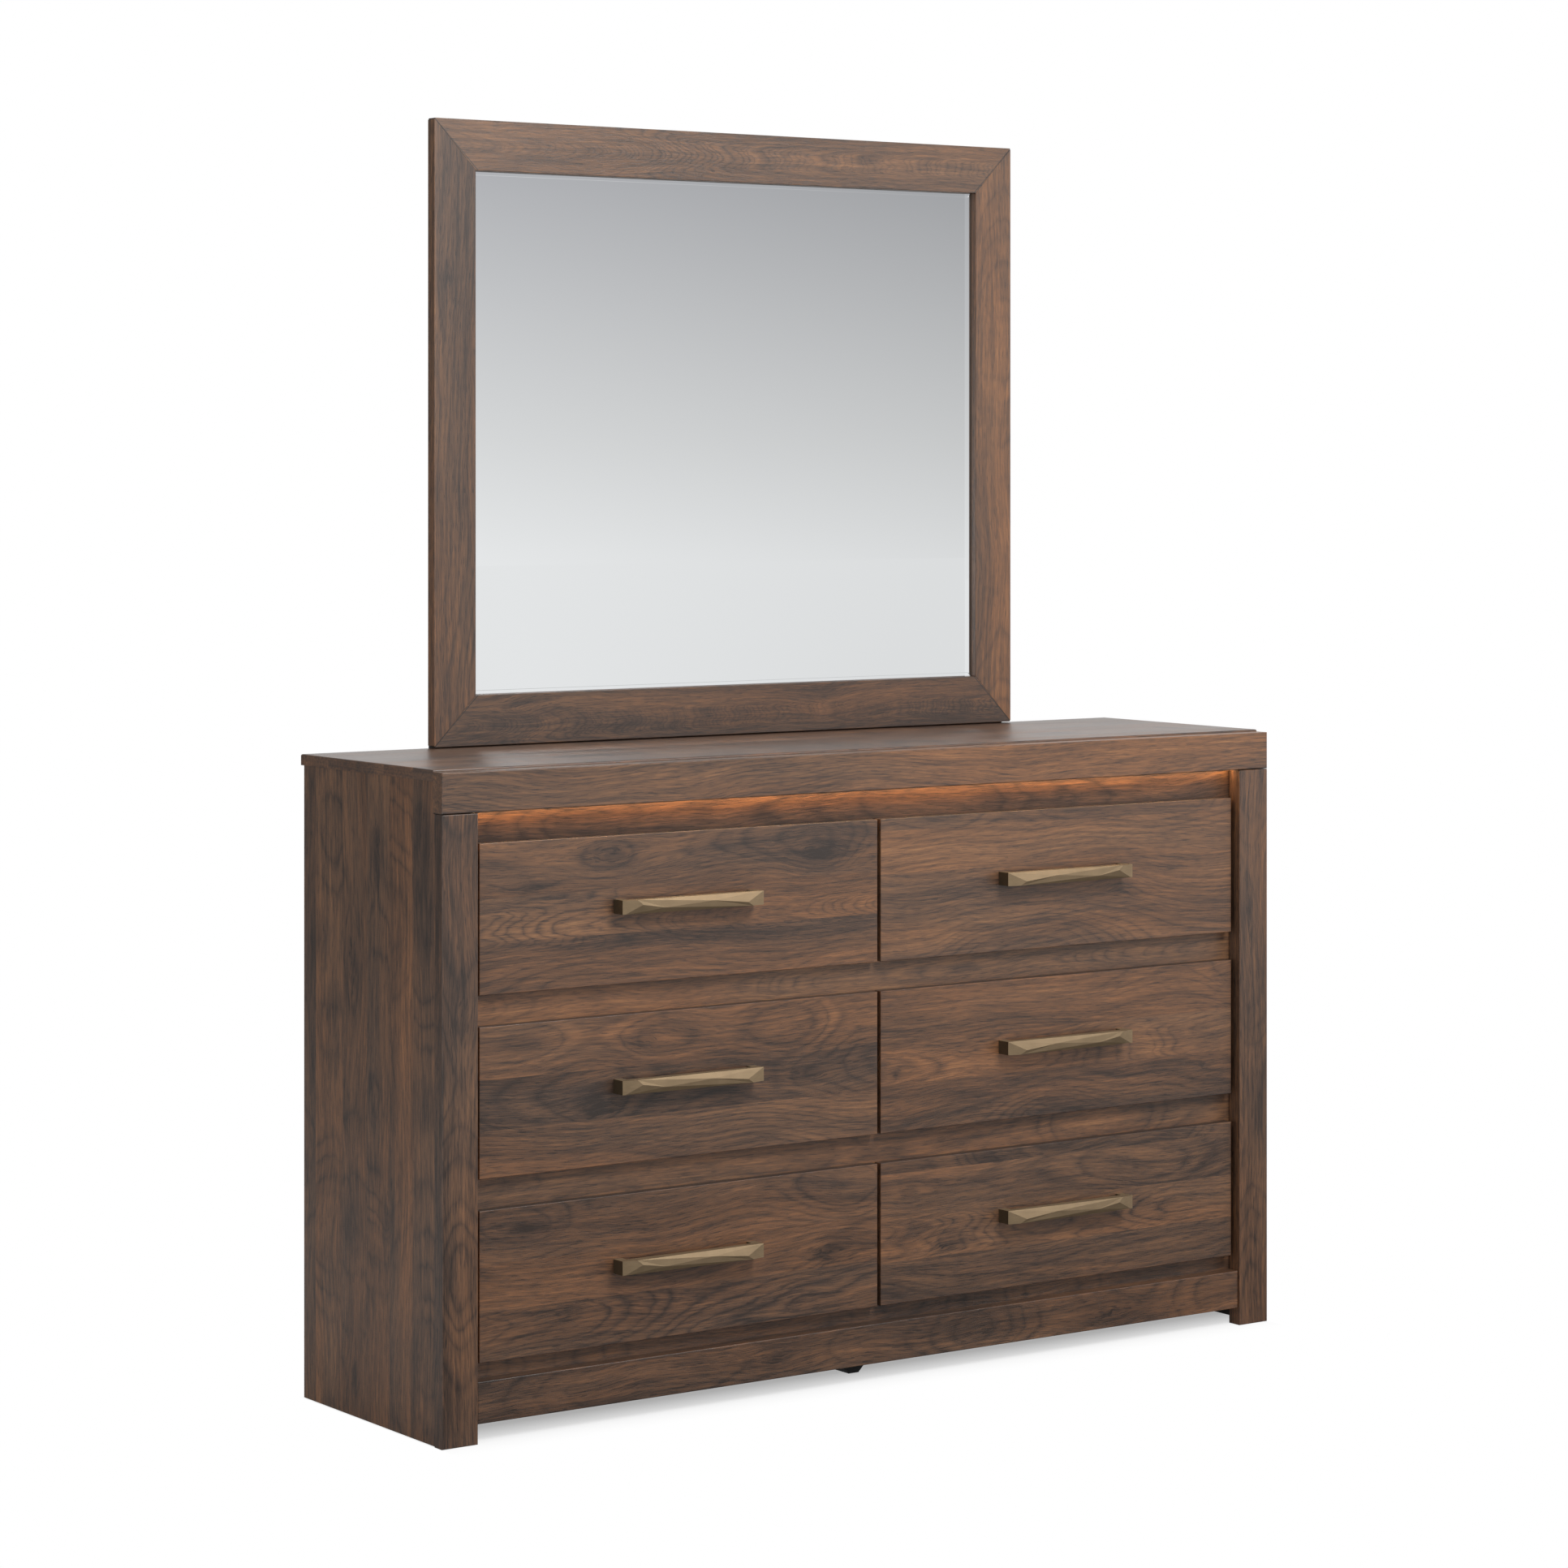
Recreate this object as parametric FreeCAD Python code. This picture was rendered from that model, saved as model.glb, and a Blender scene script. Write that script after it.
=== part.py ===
import FreeCAD, Part
import math
import os

from FreeCAD import Vector

# Dresser with six drawers, a lit strip under its fascia and a framed mirror on its top.
# Millimetres, +Z up, +X to the right, +Y to the back.
# Places are measured from the front plane of the stiles, x from the middle, z from the floor.
# write() moves each piece back so that the middle of the depth lies at y = 0.

row_names = ("bottom", "middle", "top")
row_count = len(row_names)
column_names = ("left", "right")

# Heights, stacked from the floor
base_clearance = 27.0
base_rail_height = 58.2
low_rail_show = 23.5
front_height = 209.7
rail_show = 43.7
light_gap = 44.1
fascia_height = 56.7
top_proud = 3.2

# Widths and depths of the carcass
carcass_width = 1500.0
side_depth = 394.0
top_overhang = 7.7
top_thickness = 16.0
top_edge_radius = 2.6
stile_width = 57.0
stile_depth = 25.0
stile_rabbet = 4.0
side_thickness = 15.0
side_inset = 1.0
side_floor_gap = 0.7
back_thickness = 5.0
back_margin = 4.0
back_floor_gap = 20.0
edge_radius = 1.5
small_edge_radius = 1.0

# Fascia and the lamp let into its lower back edge
fascia_depth = 25.0
fascia_joint = 0.8
lamp_rebate_depth = 12.0
lamp_rebate_height = 11.5
lamp_end_gap = 3.0
channel_width = 11.2
channel_height = 10.4
channel_wall = 1.0
strip_width = 8.0
strip_thickness = 0.6
chip_size = 5.0
chip_height = 1.6
chip_pitch = 40.0
diffuser_thickness = 1.5
diffuser_lift = 0.4

# Rails and inner boards
rail_thickness = 18.0
rail_lap = 10.0
base_rail_recess = 3.0
base_rail_depth = 25.0
base_rail_end_gap = 1.2
inner_board = 15.0
bottom_thickness = 12.0
partition_thickness = 15.0
rear_rail_height = 60.0
base_board_lift = 12.0
center_shift = -2.9
stretcher_width = 57.0
stretcher_height = 30.0
foot_sole_width = 17.8
foot_flare_height = 19.6
foot_front_y = 71.0
foot_length = 60.0
glide_radius = 12.0
glide_front_y = 130.0
glide_back_gap = 18.0

# Drawers
drawer_setback = 10.8
front_thickness = 15.0
front_rail_gap = 0.9
front_side_gap = 8.5
column_gap = 6.3
box_board = 12.0
box_height = 150.0
box_rise = 18.0
box_rear_gap = 13.2
box_bottom_thickness = 5.0
box_bottom_lift = 10.0
box_groove = 5.0
box_back_drop = 10.0

# Telescopic slides: three nested steel channels on each side of a drawer
slide_width = 12.7
slide_height = 45.0
slide_steel = 1.2
slide_running_gap = 0.5
slide_setback = 1.3
slide_rear_gap = 33.0
cabinet_flange = 8.0
cleat_height = 60.0

# Bar handles with a cut, faceted face
handle_length = 241.4
handle_height = 20.0
handle_rise = 5.2
handle_projection = 23.2
handle_relief = 6.3
handle_block = 14.0
finger_gap = 12.4
ridge_shares = ((0.127, 0.64), (0.290, 0.34), (0.625, 0.60), (0.872, 0.30))
top_corner_share = 0.0924
low_corner_shares = (0.016, 0.914)
screw_radius = 2.0
screw_clearance = 0.4
thread_clearance = 0.05
screw_bite = 10.0
screw_head_radius = 4.0
screw_head_height = 2.4

# Mirror
mirror_width = 1077.0
mirror_height = 927.0
mirror_lift = 1.8
mirror_side_face = 71.2
mirror_end_face = 75.0
mirror_front_layer = 11.0
mirror_back_layer = 8.0
mirror_outer_lip = 10.0
mitre_gap = 0.4
glass_recess = 14.4
glass_thickness = 3.0
glass_lap = 6.0
bevel_show = 6.0
bevel_depth = 0.9
support_width = 60.0
support_thickness = 16.0
support_inset = 5.0
support_top_drop = 158.0
support_bottom_lap = 20.0
bolt_radius = 3.0
bolt_clearance = 0.3
bolt_head_radius = 6.0
bolt_head_height = 2.6
bolt_head_sink = 0.4
bolt_bite = 5.5
spacer_radius = 8.0
upper_bolt_shares = (0.16, 0.5, 0.84)

# Power inlet, lead to the lamp and anti-tip brackets at the back
lead_side_gap = 134.0
lead_radius = 2.0
lead_hole_clearance = 0.5
lead_bend = 22.0
lead_drop_run = 30.0
lead_clip_width = 8.0
lead_clip_wall = 2.2
lead_clip_gap = 0.2
lead_clip_shares = (0.12, 0.5, 0.88)
inlet_drop = 20.0
inlet_barrel_radius = 5.5
inlet_flange_radius = 9.0
inlet_flange_thickness = 2.0
inlet_inner_length = 7.0
inlet_bore_radius = 3.2
inlet_bore_depth = 12.0
inlet_pin_radius = 1.0
bracket_x = 150.0
bracket_width = 30.0
bracket_height = 36.0
bracket_reach = 15.0
bracket_steel = 2.0
bracket_drop = 24.0
bracket_hole_radius = 2.5
cut_overrun = 1.0
touch = 0.001

# Places that follow from the sizes
half_width = carcass_width / 2
stile_inner_x = half_width - stile_width
side_outer_x = half_width - side_inset
side_inner_x = side_outer_x - side_thickness
base_top_z = base_clearance + base_rail_height
first_row_z = base_top_z + low_rail_show
row_pitch = front_height + rail_show
rows_top_z = first_row_z + row_count * row_pitch - rail_show
fascia_bottom_z = rows_top_z + light_gap
fascia_top_z = fascia_bottom_z + fascia_height
top_z = fascia_top_z + top_proud
under_top_z = top_z - top_thickness
stile_top_z = fascia_bottom_z - fascia_joint
front_back_y = drawer_setback + front_thickness
rail_face_y = front_back_y + front_rail_gap
rail_back_y = rail_face_y + rail_thickness
rear_rail_y = side_depth - inner_board
back_face_y = side_depth + back_thickness
top_back_y = side_depth + top_overhang
bottom_top_z = base_top_z + bottom_thickness
base_back_y = base_rail_recess + base_rail_depth
support_back_y = top_back_y + support_thickness
front_outer_x = stile_inner_x - front_side_gap
front_inner_x = column_gap / 2
box_inset = partition_thickness / 2 + slide_width - front_inner_x
box_back_y = rear_rail_y - box_rear_gap
cleat_x = front_outer_x - box_inset + slide_width
box_width = front_outer_x - front_inner_x - 2 * box_inset
slide_front_y = rail_back_y + slide_setback
slide_back_y = rear_rail_y - slide_rear_gap
handle_front_y = drawer_setback - handle_projection
lamp_front_y = fascia_depth - lamp_rebate_depth
lamp_back_y = lamp_front_y + channel_width
lamp_bottom_z = fascia_bottom_z + lamp_rebate_height - channel_height
middle_rail_z = first_row_z + (row_count - 1) * row_pitch - rail_show / 2
rear_rail_z = (middle_rail_z, under_top_z - rear_rail_height / 2)
lead_x = side_inner_x - lead_side_gap
inlet_z = under_top_z - inlet_drop
lead_clip_z = under_top_z - lead_clip_gap - lead_clip_wall - lead_radius
lead_end_z = fascia_bottom_z + lamp_rebate_height / 2
mirror_bottom_z = top_z + mirror_lift
mirror_top_z = mirror_bottom_z + mirror_height
mirror_face_y = top_back_y - mirror_front_layer - mirror_back_layer
opening_x = mirror_width / 2 - mirror_side_face
opening_z = (mirror_bottom_z + mirror_end_face, mirror_top_z - mirror_end_face)
support_top_z = mirror_top_z - support_top_drop
support_x = mirror_width / 2 - mirror_side_face / 2 - support_inset
bolt_head_y = support_back_y - bolt_head_sink
depth_middle = (support_back_y + handle_front_y - handle_relief) / 2


def board(x, y, z):
    """A square-edged board between pairs of low and high places."""
    return Part.makeBox(x[1] - x[0], y[1] - y[0], z[1] - z[0], Vector(x[0], y[0], z[0]))


def rod(radius, start, end):
    """A round bar from one point to another."""
    return Part.makeCylinder(radius, (end - start).Length, start, end - start)


def prism(points, along):
    """A straight prism on a closed outline of points."""
    outline = Part.makePolygon(points + points[:1])
    return Part.Face(outline).extrude(along)


def lies_at(edge, axis, place):
    """Whether both ends of an edge lie at one place along an axis."""
    return all(abs(getattr(vertex.Point, axis) - place) < touch for vertex in edge.Vertexes)


def eased(solid, radius, *planes):
    """Rounds every edge that lies wholly in one of the planes (axis, place)."""
    edges = [e for e in solid.Edges if any(lies_at(e, axis, place) for axis, place in planes)]
    return solid.makeFillet(radius, edges)


def mirrored(solid):
    """The other hand of a piece, across the middle of the width."""
    return solid.mirror(Vector(), Vector(1, 0, 0))


def write(node, *solids):
    """Moves a sub-part to the middle of the depth and writes it."""
    shape = Part.makeCompound(list(solids)) if len(solids) > 1 else solids[0].copy()
    shape.translate(Vector(0, -depth_middle, 0))
    shape.exportStep("parts/%s.step" % node)


def carcass():
    """Side panels, stiles, top, fascia, rails, partition, inner boards and back."""
    panel = board((side_inner_x, side_outer_x), (stile_depth, side_depth), (side_floor_gap, under_top_z))
    tongue = board((side_inner_x, side_outer_x), (stile_depth - stile_rabbet, stile_depth),
                   (side_floor_gap, stile_top_z))
    side = panel.fuse(tongue).removeSplitter()
    write("right_side_panel", side)
    write("left_side_panel", mirrored(side))

    stile = board((stile_inner_x, half_width), (0, stile_depth), (0, stile_top_z))
    rabbet = board((side_inner_x, half_width + cut_overrun),
                   (stile_depth - stile_rabbet, stile_depth + cut_overrun),
                   (-cut_overrun, stile_top_z + cut_overrun))
    stile = eased(stile.cut(rabbet), edge_radius, ("y", 0))
    write("right_stile", stile)
    write("left_stile", mirrored(stile))

    top = board((-half_width, half_width), (stile_depth, top_back_y), (under_top_z, top_z))
    write("top_panel", eased(top, top_edge_radius, ("z", top_z)))

    fascia = board((-half_width, half_width), (0, fascia_depth), (fascia_bottom_z, fascia_top_z))
    fascia = eased(fascia, edge_radius, ("y", 0))
    write("fascia", fascia.cut(lamp_rebate()))

    inside = (-side_inner_x, side_inner_x)
    depth = (rail_face_y, rail_back_y)
    light_rail = board(inside, depth, (rows_top_z - rail_lap, under_top_z))
    lead_hole = rod(lead_radius + lead_hole_clearance, Vector(lead_x, rail_face_y - cut_overrun, lead_end_z),
                    Vector(lead_x, rail_back_y + cut_overrun, lead_end_z))
    write("light_rail", light_rail.cut(lead_hole))
    gaps = [first_row_z + row * row_pitch - rail_show for row in range(1, row_count)]
    write("mid_rails", *[board(inside, depth, (z - rail_lap, z + rail_show + rail_lap)) for z in gaps])
    write("bottom_rail", board(inside, depth, (base_top_z, first_row_z + rail_lap)))

    base = board((base_rail_end_gap - stile_inner_x, stile_inner_x - base_rail_end_gap),
                 (base_rail_recess, base_back_y), (base_clearance, base_top_z))
    write("base_rail", eased(base, edge_radius, ("y", base_rail_recess)))

    between = (rail_back_y, rear_rail_y)
    write("bottom_panel", board(inside, between, (base_top_z, bottom_top_z)))
    write("center_partition", board((-partition_thickness / 2, partition_thickness / 2), between,
                                    (bottom_top_z, under_top_z)))
    inlet_hole = rod(inlet_barrel_radius + lead_hole_clearance,
                     Vector(lead_x, rear_rail_y - cut_overrun, inlet_z),
                     Vector(lead_x, back_face_y + cut_overrun, inlet_z))
    drills = [inlet_hole] + [bolt_hole(x, z) for x, z in lower_bolts()]
    write("inner_frame", *inner_frame(inside, drills))
    back = board((back_margin - side_outer_x, side_outer_x - back_margin), (side_depth, back_face_y),
                 (back_floor_gap, under_top_z))
    write("back_panel", back.cut(drills))


def lamp_rebate():
    """The step in the fascia's lower back edge that holds the lamp, stopped short of the stiles."""
    return board((-stile_inner_x, stile_inner_x), (lamp_front_y, fascia_depth + cut_overrun),
                 (fascia_bottom_z - cut_overrun, fascia_bottom_z + lamp_rebate_height))


def inner_frame(inside, drills):
    """Base boards behind the stiles, the stretcher over the foot and the rear rails."""
    base_z = (base_board_lift, base_top_z)
    base_side = board((stile_inner_x, side_inner_x), (stile_depth, rear_rail_y), base_z)
    rear = (rear_rail_y, side_depth)
    stretcher = board((center_shift - stretcher_width / 2, center_shift + stretcher_width / 2),
                      (base_back_y, rear_rail_y), (base_top_z - stretcher_height, base_top_z))
    rails = [board(inside, rear, (z - rear_rail_height / 2, z + rear_rail_height / 2)).cut(drills)
             for z in rear_rail_z]
    return [base_side, mirrored(base_side), stretcher, board(inside, rear, base_z)] + rails


def feet():
    """The flared centre foot under its stretcher, and four glides under the base boards."""
    sole = foot_sole_width / 2
    flare = stretcher_width / 2
    stem_z = base_top_z - stretcher_height
    outline = [(-sole, 0), (sole, 0), (flare, foot_flare_height), (flare, stem_z), (-flare, stem_z),
               (-flare, foot_flare_height)]
    points = [Vector(center_shift + x, foot_front_y, z) for x, z in outline]
    write("center_foot", prism(points, Vector(0, foot_length, 0)))

    x = (stile_inner_x + side_inner_x) / 2
    glide_back_y = rear_rail_y - glide_back_gap
    places = [Vector(side * x, y, 0) for side in (-1, 1) for y in (glide_front_y, glide_back_y)]
    write("floor_glides", *[rod(glide_radius, p, p + Vector(0, 0, base_board_lift)) for p in places])


def slide_z(row):
    """Height of the middle of a drawer's slides."""
    return first_row_z + row * row_pitch + box_rise + box_height / 2


def channel(web_x, toward, width, inset, row):
    """One steel channel of a slide: a web at web_x and two flanges that reach towards the next channel."""
    z = slide_z(row)
    tip_x = web_x + toward * width
    half = slide_height / 2 - inset
    solid = board(sorted((web_x, tip_x)), (slide_front_y, slide_back_y), (z - half, z + half))
    hollow = board(sorted((web_x + toward * slide_steel, tip_x + toward * cut_overrun)),
                   (slide_front_y - cut_overrun, slide_back_y + cut_overrun),
                   (z - half + slide_steel, z + half - slide_steel))
    return solid.cut(hollow)


def slide_mounts(side):
    """The carcass faces that carry one column's slides, each with the way to its drawer."""
    return (side * partition_thickness / 2, side), (side * cleat_x, -side)


def cabinet_parts():
    """The slides' fixed channels and the cleats that bring them out past the stiles."""
    channels = [channel(x, toward, cabinet_flange, 0, row)
                for side in (-1, 1) for x, toward in slide_mounts(side) for row in range(row_count)]
    write("cabinet_slides", *channels)

    cleats = []
    for row in range(row_count):
        z = slide_z(row)
        cleat = board((cleat_x, side_inner_x), (rail_back_y, rear_rail_y),
                      (z - cleat_height / 2, z + cleat_height / 2))
        cleats += [cleat, mirrored(cleat)]
    write("slide_cleats", *cleats)


def handle_screw_places():
    """Where the handle screws stand, from the handle's left end and its lower edge."""
    return [(x, handle_height / 2) for x in (handle_block / 2, handle_length - handle_block / 2)]


def handle():
    """A bar handle at the origin: its back at y = 0, its faceted face towards -Y."""
    body = board((0, handle_length), (-handle_projection, 0), (0, handle_height))
    grip = board((handle_block, handle_length - handle_block), (-finger_gap, cut_overrun),
                 (-cut_overrun, handle_height + cut_overrun))
    ridge_x = [share * handle_length for share, _ in ridge_shares]
    left_slope = handle_relief / ridge_x[0]
    right_slope = handle_relief / (handle_length - ridge_x[-1])

    def face_point(x, z):
        relief = min(x * left_slope, handle_relief, (handle_length - x) * right_slope)
        return Vector(x, -handle_projection - relief, z)

    ridge = [face_point(x, share * handle_height) for x, (_, share) in zip(ridge_x, ridge_shares)]
    a, b, c, d = ridge
    top_left, top_right = face_point(0, handle_height), face_point(handle_length, handle_height)
    low_left, low_right = face_point(0, 0), face_point(handle_length, 0)
    top_corner = face_point(top_corner_share * handle_length, handle_height)
    low_start, low_end = [face_point(share * handle_length, 0) for share in low_corner_shares]
    facets = [
        (top_left, top_corner, a, low_start, low_left),
        (top_right, low_right, low_end, d),
        (top_corner, b, a), (top_corner, c, b), (top_corner, top_right, c), (top_right, d, c),
        (low_start, a, b), (low_start, b, low_end), (b, c, low_end), (c, d, low_end),
        (top_left, top_right, top_corner),
        (low_left, low_start, low_end, low_right),
        (top_left, low_left, low_right, top_right),
    ]
    shell = Part.Shell([Part.Face(Part.makePolygon(list(points) + [points[0]])) for points in facets])
    crest = Part.Solid(shell)
    if crest.Volume < 0:
        crest.reverse()
    bar = body.cut(grip).fuse(crest).removeSplitter()
    for x, z in handle_screw_places():
        hole = rod(screw_radius + thread_clearance, Vector(x, -screw_bite, z), Vector(x, cut_overrun, z))
        bar = bar.cut(hole)
    return bar


def drawer(row, row_name, column_name):
    """One drawer: its front, box, bottom, handle with screws, and the channels that slide with it."""
    name = "%s_%s" % (row_name, column_name)
    side = -1 if column_name == "left" else 1
    low_z = first_row_z + row * row_pitch
    low_x, high_x = sorted((side * front_inner_x, side * front_outer_x))
    middle_x = (low_x + high_x) / 2
    handle_x = middle_x - handle_length / 2
    handle_z = low_z + (front_height - handle_height) / 2 + handle_rise
    inner_y = front_back_y + box_board
    screws = []
    holes = []
    for along, up in handle_screw_places():
        x = handle_x + along
        z = handle_z + up
        seat = Vector(x, inner_y, z)
        shank = rod(screw_radius, Vector(x, drawer_setback - screw_bite, z), seat)
        screws.append(shank.fuse(rod(screw_head_radius, seat, Vector(x, inner_y + screw_head_height, z))))
        holes.append(rod(screw_radius + screw_clearance, Vector(x, drawer_setback - cut_overrun, z),
                         Vector(x, inner_y + cut_overrun, z)))

    front = board((low_x, high_x), (drawer_setback, front_back_y), (low_z, low_z + front_height))
    write(name + "_front", eased(front, small_edge_radius, ("y", drawer_setback)).cut(holes))

    bar = handle()
    if side > 0:
        bar = bar.mirror(Vector(handle_length / 2, 0, 0), Vector(1, 0, 0))
    bar.translate(Vector(handle_x, drawer_setback, handle_z))
    write(name + "_handle", bar, *screws)

    box_x = (middle_x - box_width / 2, middle_x + box_width / 2)
    box_z = (low_z + box_rise, low_z + box_rise + box_height)
    within = (box_x[0] + box_board, box_x[1] - box_board)
    bottom_z = (box_z[0] + box_bottom_lift, box_z[0] + box_bottom_lift + box_bottom_thickness)
    bottom = board((within[0] - box_groove, within[1] + box_groove),
                   (inner_y - box_groove, box_back_y - box_board + box_groove), bottom_z)
    sides = [board(x, (front_back_y, box_back_y), box_z)
             for x in ((box_x[0], within[0]), (within[1], box_x[1]))]
    inner_front = board(within, (front_back_y, inner_y), box_z).cut(holes)
    box_back = board(within, (box_back_y - box_board, box_back_y), (box_z[0], box_z[1] - box_back_drop))
    boards = [piece.cut(bottom) for piece in sides + [inner_front, box_back]]
    write(name + "_box", *boards, bottom)

    nested = slide_steel + slide_running_gap
    middle_width = cabinet_flange - slide_steel
    drawer_width = slide_width - 2 * nested
    middles = []
    inners = []
    for x, toward in slide_mounts(side):
        middles.append(channel(x + toward * nested, toward, middle_width, nested, row))
        inners.append(channel(x + toward * slide_width, -toward, drawer_width, 2 * nested, row))
    write(name + "_middle_slides", *middles)
    write(name + "_drawer_slides", *inners)


def lamp():
    """The lit strip under the fascia: channel, board with its chips, and diffuser."""
    half = stile_inner_x - lamp_end_gap
    within = (lamp_front_y + channel_wall, lamp_back_y - channel_wall)
    roof_z = lamp_bottom_z + channel_height - channel_wall
    shell = board((-half, half), (lamp_front_y, lamp_back_y), (lamp_bottom_z, roof_z + channel_wall))
    trough = board((-half - cut_overrun, half + cut_overrun), within, (lamp_bottom_z - cut_overrun, roof_z))
    write("light_channel", shell.cut(trough))

    middle_y = (lamp_front_y + lamp_back_y) / 2
    strip = board((-half, half), (middle_y - strip_width / 2, middle_y + strip_width / 2),
                  (roof_z - strip_thickness, roof_z))
    chip_z = (roof_z - strip_thickness - chip_height, roof_z - strip_thickness)
    count = int(2 * half / chip_pitch)
    for index in range(count):
        x = (index - (count - 1) / 2) * chip_pitch
        strip = strip.fuse(board((x - chip_size / 2, x + chip_size / 2),
                                 (middle_y - chip_size / 2, middle_y + chip_size / 2), chip_z))
    write("light_strip", strip)
    diffuser_z = lamp_bottom_z + diffuser_lift
    write("light_diffuser", board((-half, half), within, (diffuser_z, diffuser_z + diffuser_thickness)))


def bent_rod(points, radius, bend):
    """A round lead along straight runs joined by arcs that touch both of them."""
    edges = []
    start = points[0]
    for before, corner, after in zip(points, points[1:], points[2:]):
        into = (corner - before).normalize()
        out = (after - corner).normalize()
        half_turn = into.getAngle(out) / 2
        setback = bend * math.tan(half_turn)
        begin = corner - into * setback
        end = corner + out * setback
        middle = corner + (out - into).normalize() * (bend / math.cos(half_turn) - bend)
        edges += [Part.makeLine(start, begin), Part.Arc(begin, middle, end).toShape()]
        start = end
    edges.append(Part.makeLine(start, points[-1]))
    section = Part.Wire(Part.makeCircle(radius, points[0], points[1] - points[0]))
    return Part.Wire(edges).makePipeShell([section], True, False)


def power_feed():
    """The inlet in the back, and the lead that runs under the top to the lamp."""
    outer_y = back_face_y + inlet_flange_thickness
    inner_y = rear_rail_y - inlet_inner_length

    def at(y, z):
        return Vector(lead_x, y, z)

    body = rod(inlet_barrel_radius, at(inner_y, inlet_z), at(outer_y, inlet_z))
    flange = rod(inlet_flange_radius, at(back_face_y, inlet_z), at(outer_y, inlet_z))
    bore = rod(inlet_bore_radius, at(outer_y - inlet_bore_depth, inlet_z), at(outer_y + cut_overrun, inlet_z))
    pin = rod(inlet_pin_radius, at(outer_y - inlet_bore_depth, inlet_z), at(outer_y, inlet_z))
    write("power_inlet", body.fuse(flange).cut(bore).fuse(pin))

    first_y = inner_y - lead_drop_run
    last_y = rail_back_y + lead_drop_run
    points = [at(inner_y, inlet_z), at(first_y, inlet_z), at(first_y - lead_drop_run, lead_clip_z),
              at(last_y + lead_drop_run, lead_clip_z), at(last_y, lead_end_z), at(lamp_back_y, lead_end_z)]
    lead = bent_rod(points, lead_radius, lead_bend)
    clips = []
    half = lead_radius + lead_clip_gap + lead_clip_wall
    clip_y = (last_y + 2 * lead_drop_run, first_y - 2 * lead_drop_run)
    for share in lead_clip_shares:
        y = clip_y[0] + (clip_y[1] - clip_y[0]) * share
        clip = board((lead_x - half, lead_x + half), (y - lead_clip_width / 2, y + lead_clip_width / 2),
                     (lead_clip_z - half, under_top_z))
        clips.append(clip.cut(rod(lead_radius + lead_clip_gap, at(y - lead_clip_width, lead_clip_z),
                                  at(y + lead_clip_width, lead_clip_z))))
    write("light_lead", lead, *clips)


def mirror():
    """The mitred frame, the dark frame let into its back, the bevelled glass and the sheet behind it."""
    half = mirror_width / 2
    low, high = opening_z
    layer_y = mirror_face_y + mirror_front_layer
    along = Vector(0, mirror_front_layer + mirror_back_layer, 0)
    lip_x = half - mirror_outer_lip
    lip_z = mirror_top_z - mirror_outer_lip
    recess = board((-lip_x, lip_x), (layer_y, top_back_y + cut_overrun), (mirror_bottom_z - cut_overrun, lip_z))
    drills = [bolt_hole(x, z) for x, z in upper_bolts()]

    def at(x, z):
        return Vector(x, mirror_face_y, z)

    cross = []
    for outer_z, inner_z in ((mirror_bottom_z, low), (mirror_top_z, high)):
        corners = [at(-half, outer_z), at(half, outer_z), at(opening_x, inner_z), at(-opening_x, inner_z)]
        rail = prism(corners, along)
        cross.append(eased(rail, small_edge_radius, ("z", outer_z), ("z", inner_z)).cut(recess))
    write("mirror_cross_rails", *cross)

    side = prism([at(half, mirror_bottom_z + mitre_gap), at(half, mirror_top_z - mitre_gap),
                  at(opening_x, high - mitre_gap), at(opening_x, low + mitre_gap)], along)
    side = eased(side, small_edge_radius, ("x", half), ("x", opening_x)).cut([recess] + drills)
    write("mirror_side_rails", side, mirrored(side))

    glass_x = opening_x + glass_lap
    glass_z = (low - glass_lap, high + glass_lap)
    glass_y = mirror_face_y + glass_recess
    glass_back_y = glass_y + glass_thickness
    pocket = board((-glass_x, glass_x), (glass_y, top_back_y + cut_overrun), glass_z)
    bands = [board((-lip_x, lip_x), (layer_y, top_back_y), z) for z in ((top_z, low), (high, lip_z))]
    bands += [board(x, (layer_y, top_back_y), (low, high)) for x in ((-lip_x, -opening_x), (opening_x, lip_x))]
    sheet = board((-glass_x, glass_x), (glass_back_y, top_back_y), glass_z)
    write("mirror_backing", *[band.cut([pocket] + drills) for band in bands], sheet)

    bevel = glass_lap + bevel_show
    outlines = []
    for inset, y in ((0, glass_y + bevel_depth), (bevel, glass_y)):
        x = glass_x - inset
        low_z = glass_z[0] + inset
        high_z = glass_z[1] - inset
        corners = [Vector(-x, y, low_z), Vector(x, y, low_z), Vector(x, y, high_z), Vector(-x, y, high_z)]
        outlines.append(Part.makePolygon(corners + corners[:1]))
    plate = board((-glass_x, glass_x), (glass_y + bevel_depth, glass_back_y), glass_z)
    write("mirror_glass", plate.fuse(Part.makeLoft(outlines, True, True)).removeSplitter())


def lower_bolts():
    """Where the mirror's supports are bolted to the rear rails."""
    return [(side * support_x, z) for side in (-1, 1) for z in rear_rail_z]


def upper_bolts():
    """Where the supports are bolted to the mirror's side rails."""
    overlap = support_top_z - mirror_bottom_z
    heights = [mirror_bottom_z + overlap * share for share in upper_bolt_shares]
    return [(side * support_x, z) for side in (-1, 1) for z in heights]


def bolt_tip_y(z):
    """Where a bolt ends: in the rear rails below the top, in the mirror's front rails above it."""
    bitten_y = side_depth if z < top_z else mirror_face_y + mirror_front_layer
    return bitten_y - bolt_bite


def bolt_hole(x, z):
    """A through hole for one bolt, stopped inside the mirror's front rails."""
    front = rear_rail_y if z < top_z else bolt_tip_y(z)
    return rod(bolt_radius + bolt_clearance, Vector(x, front, z), Vector(x, support_back_y + cut_overrun, z))


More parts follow.
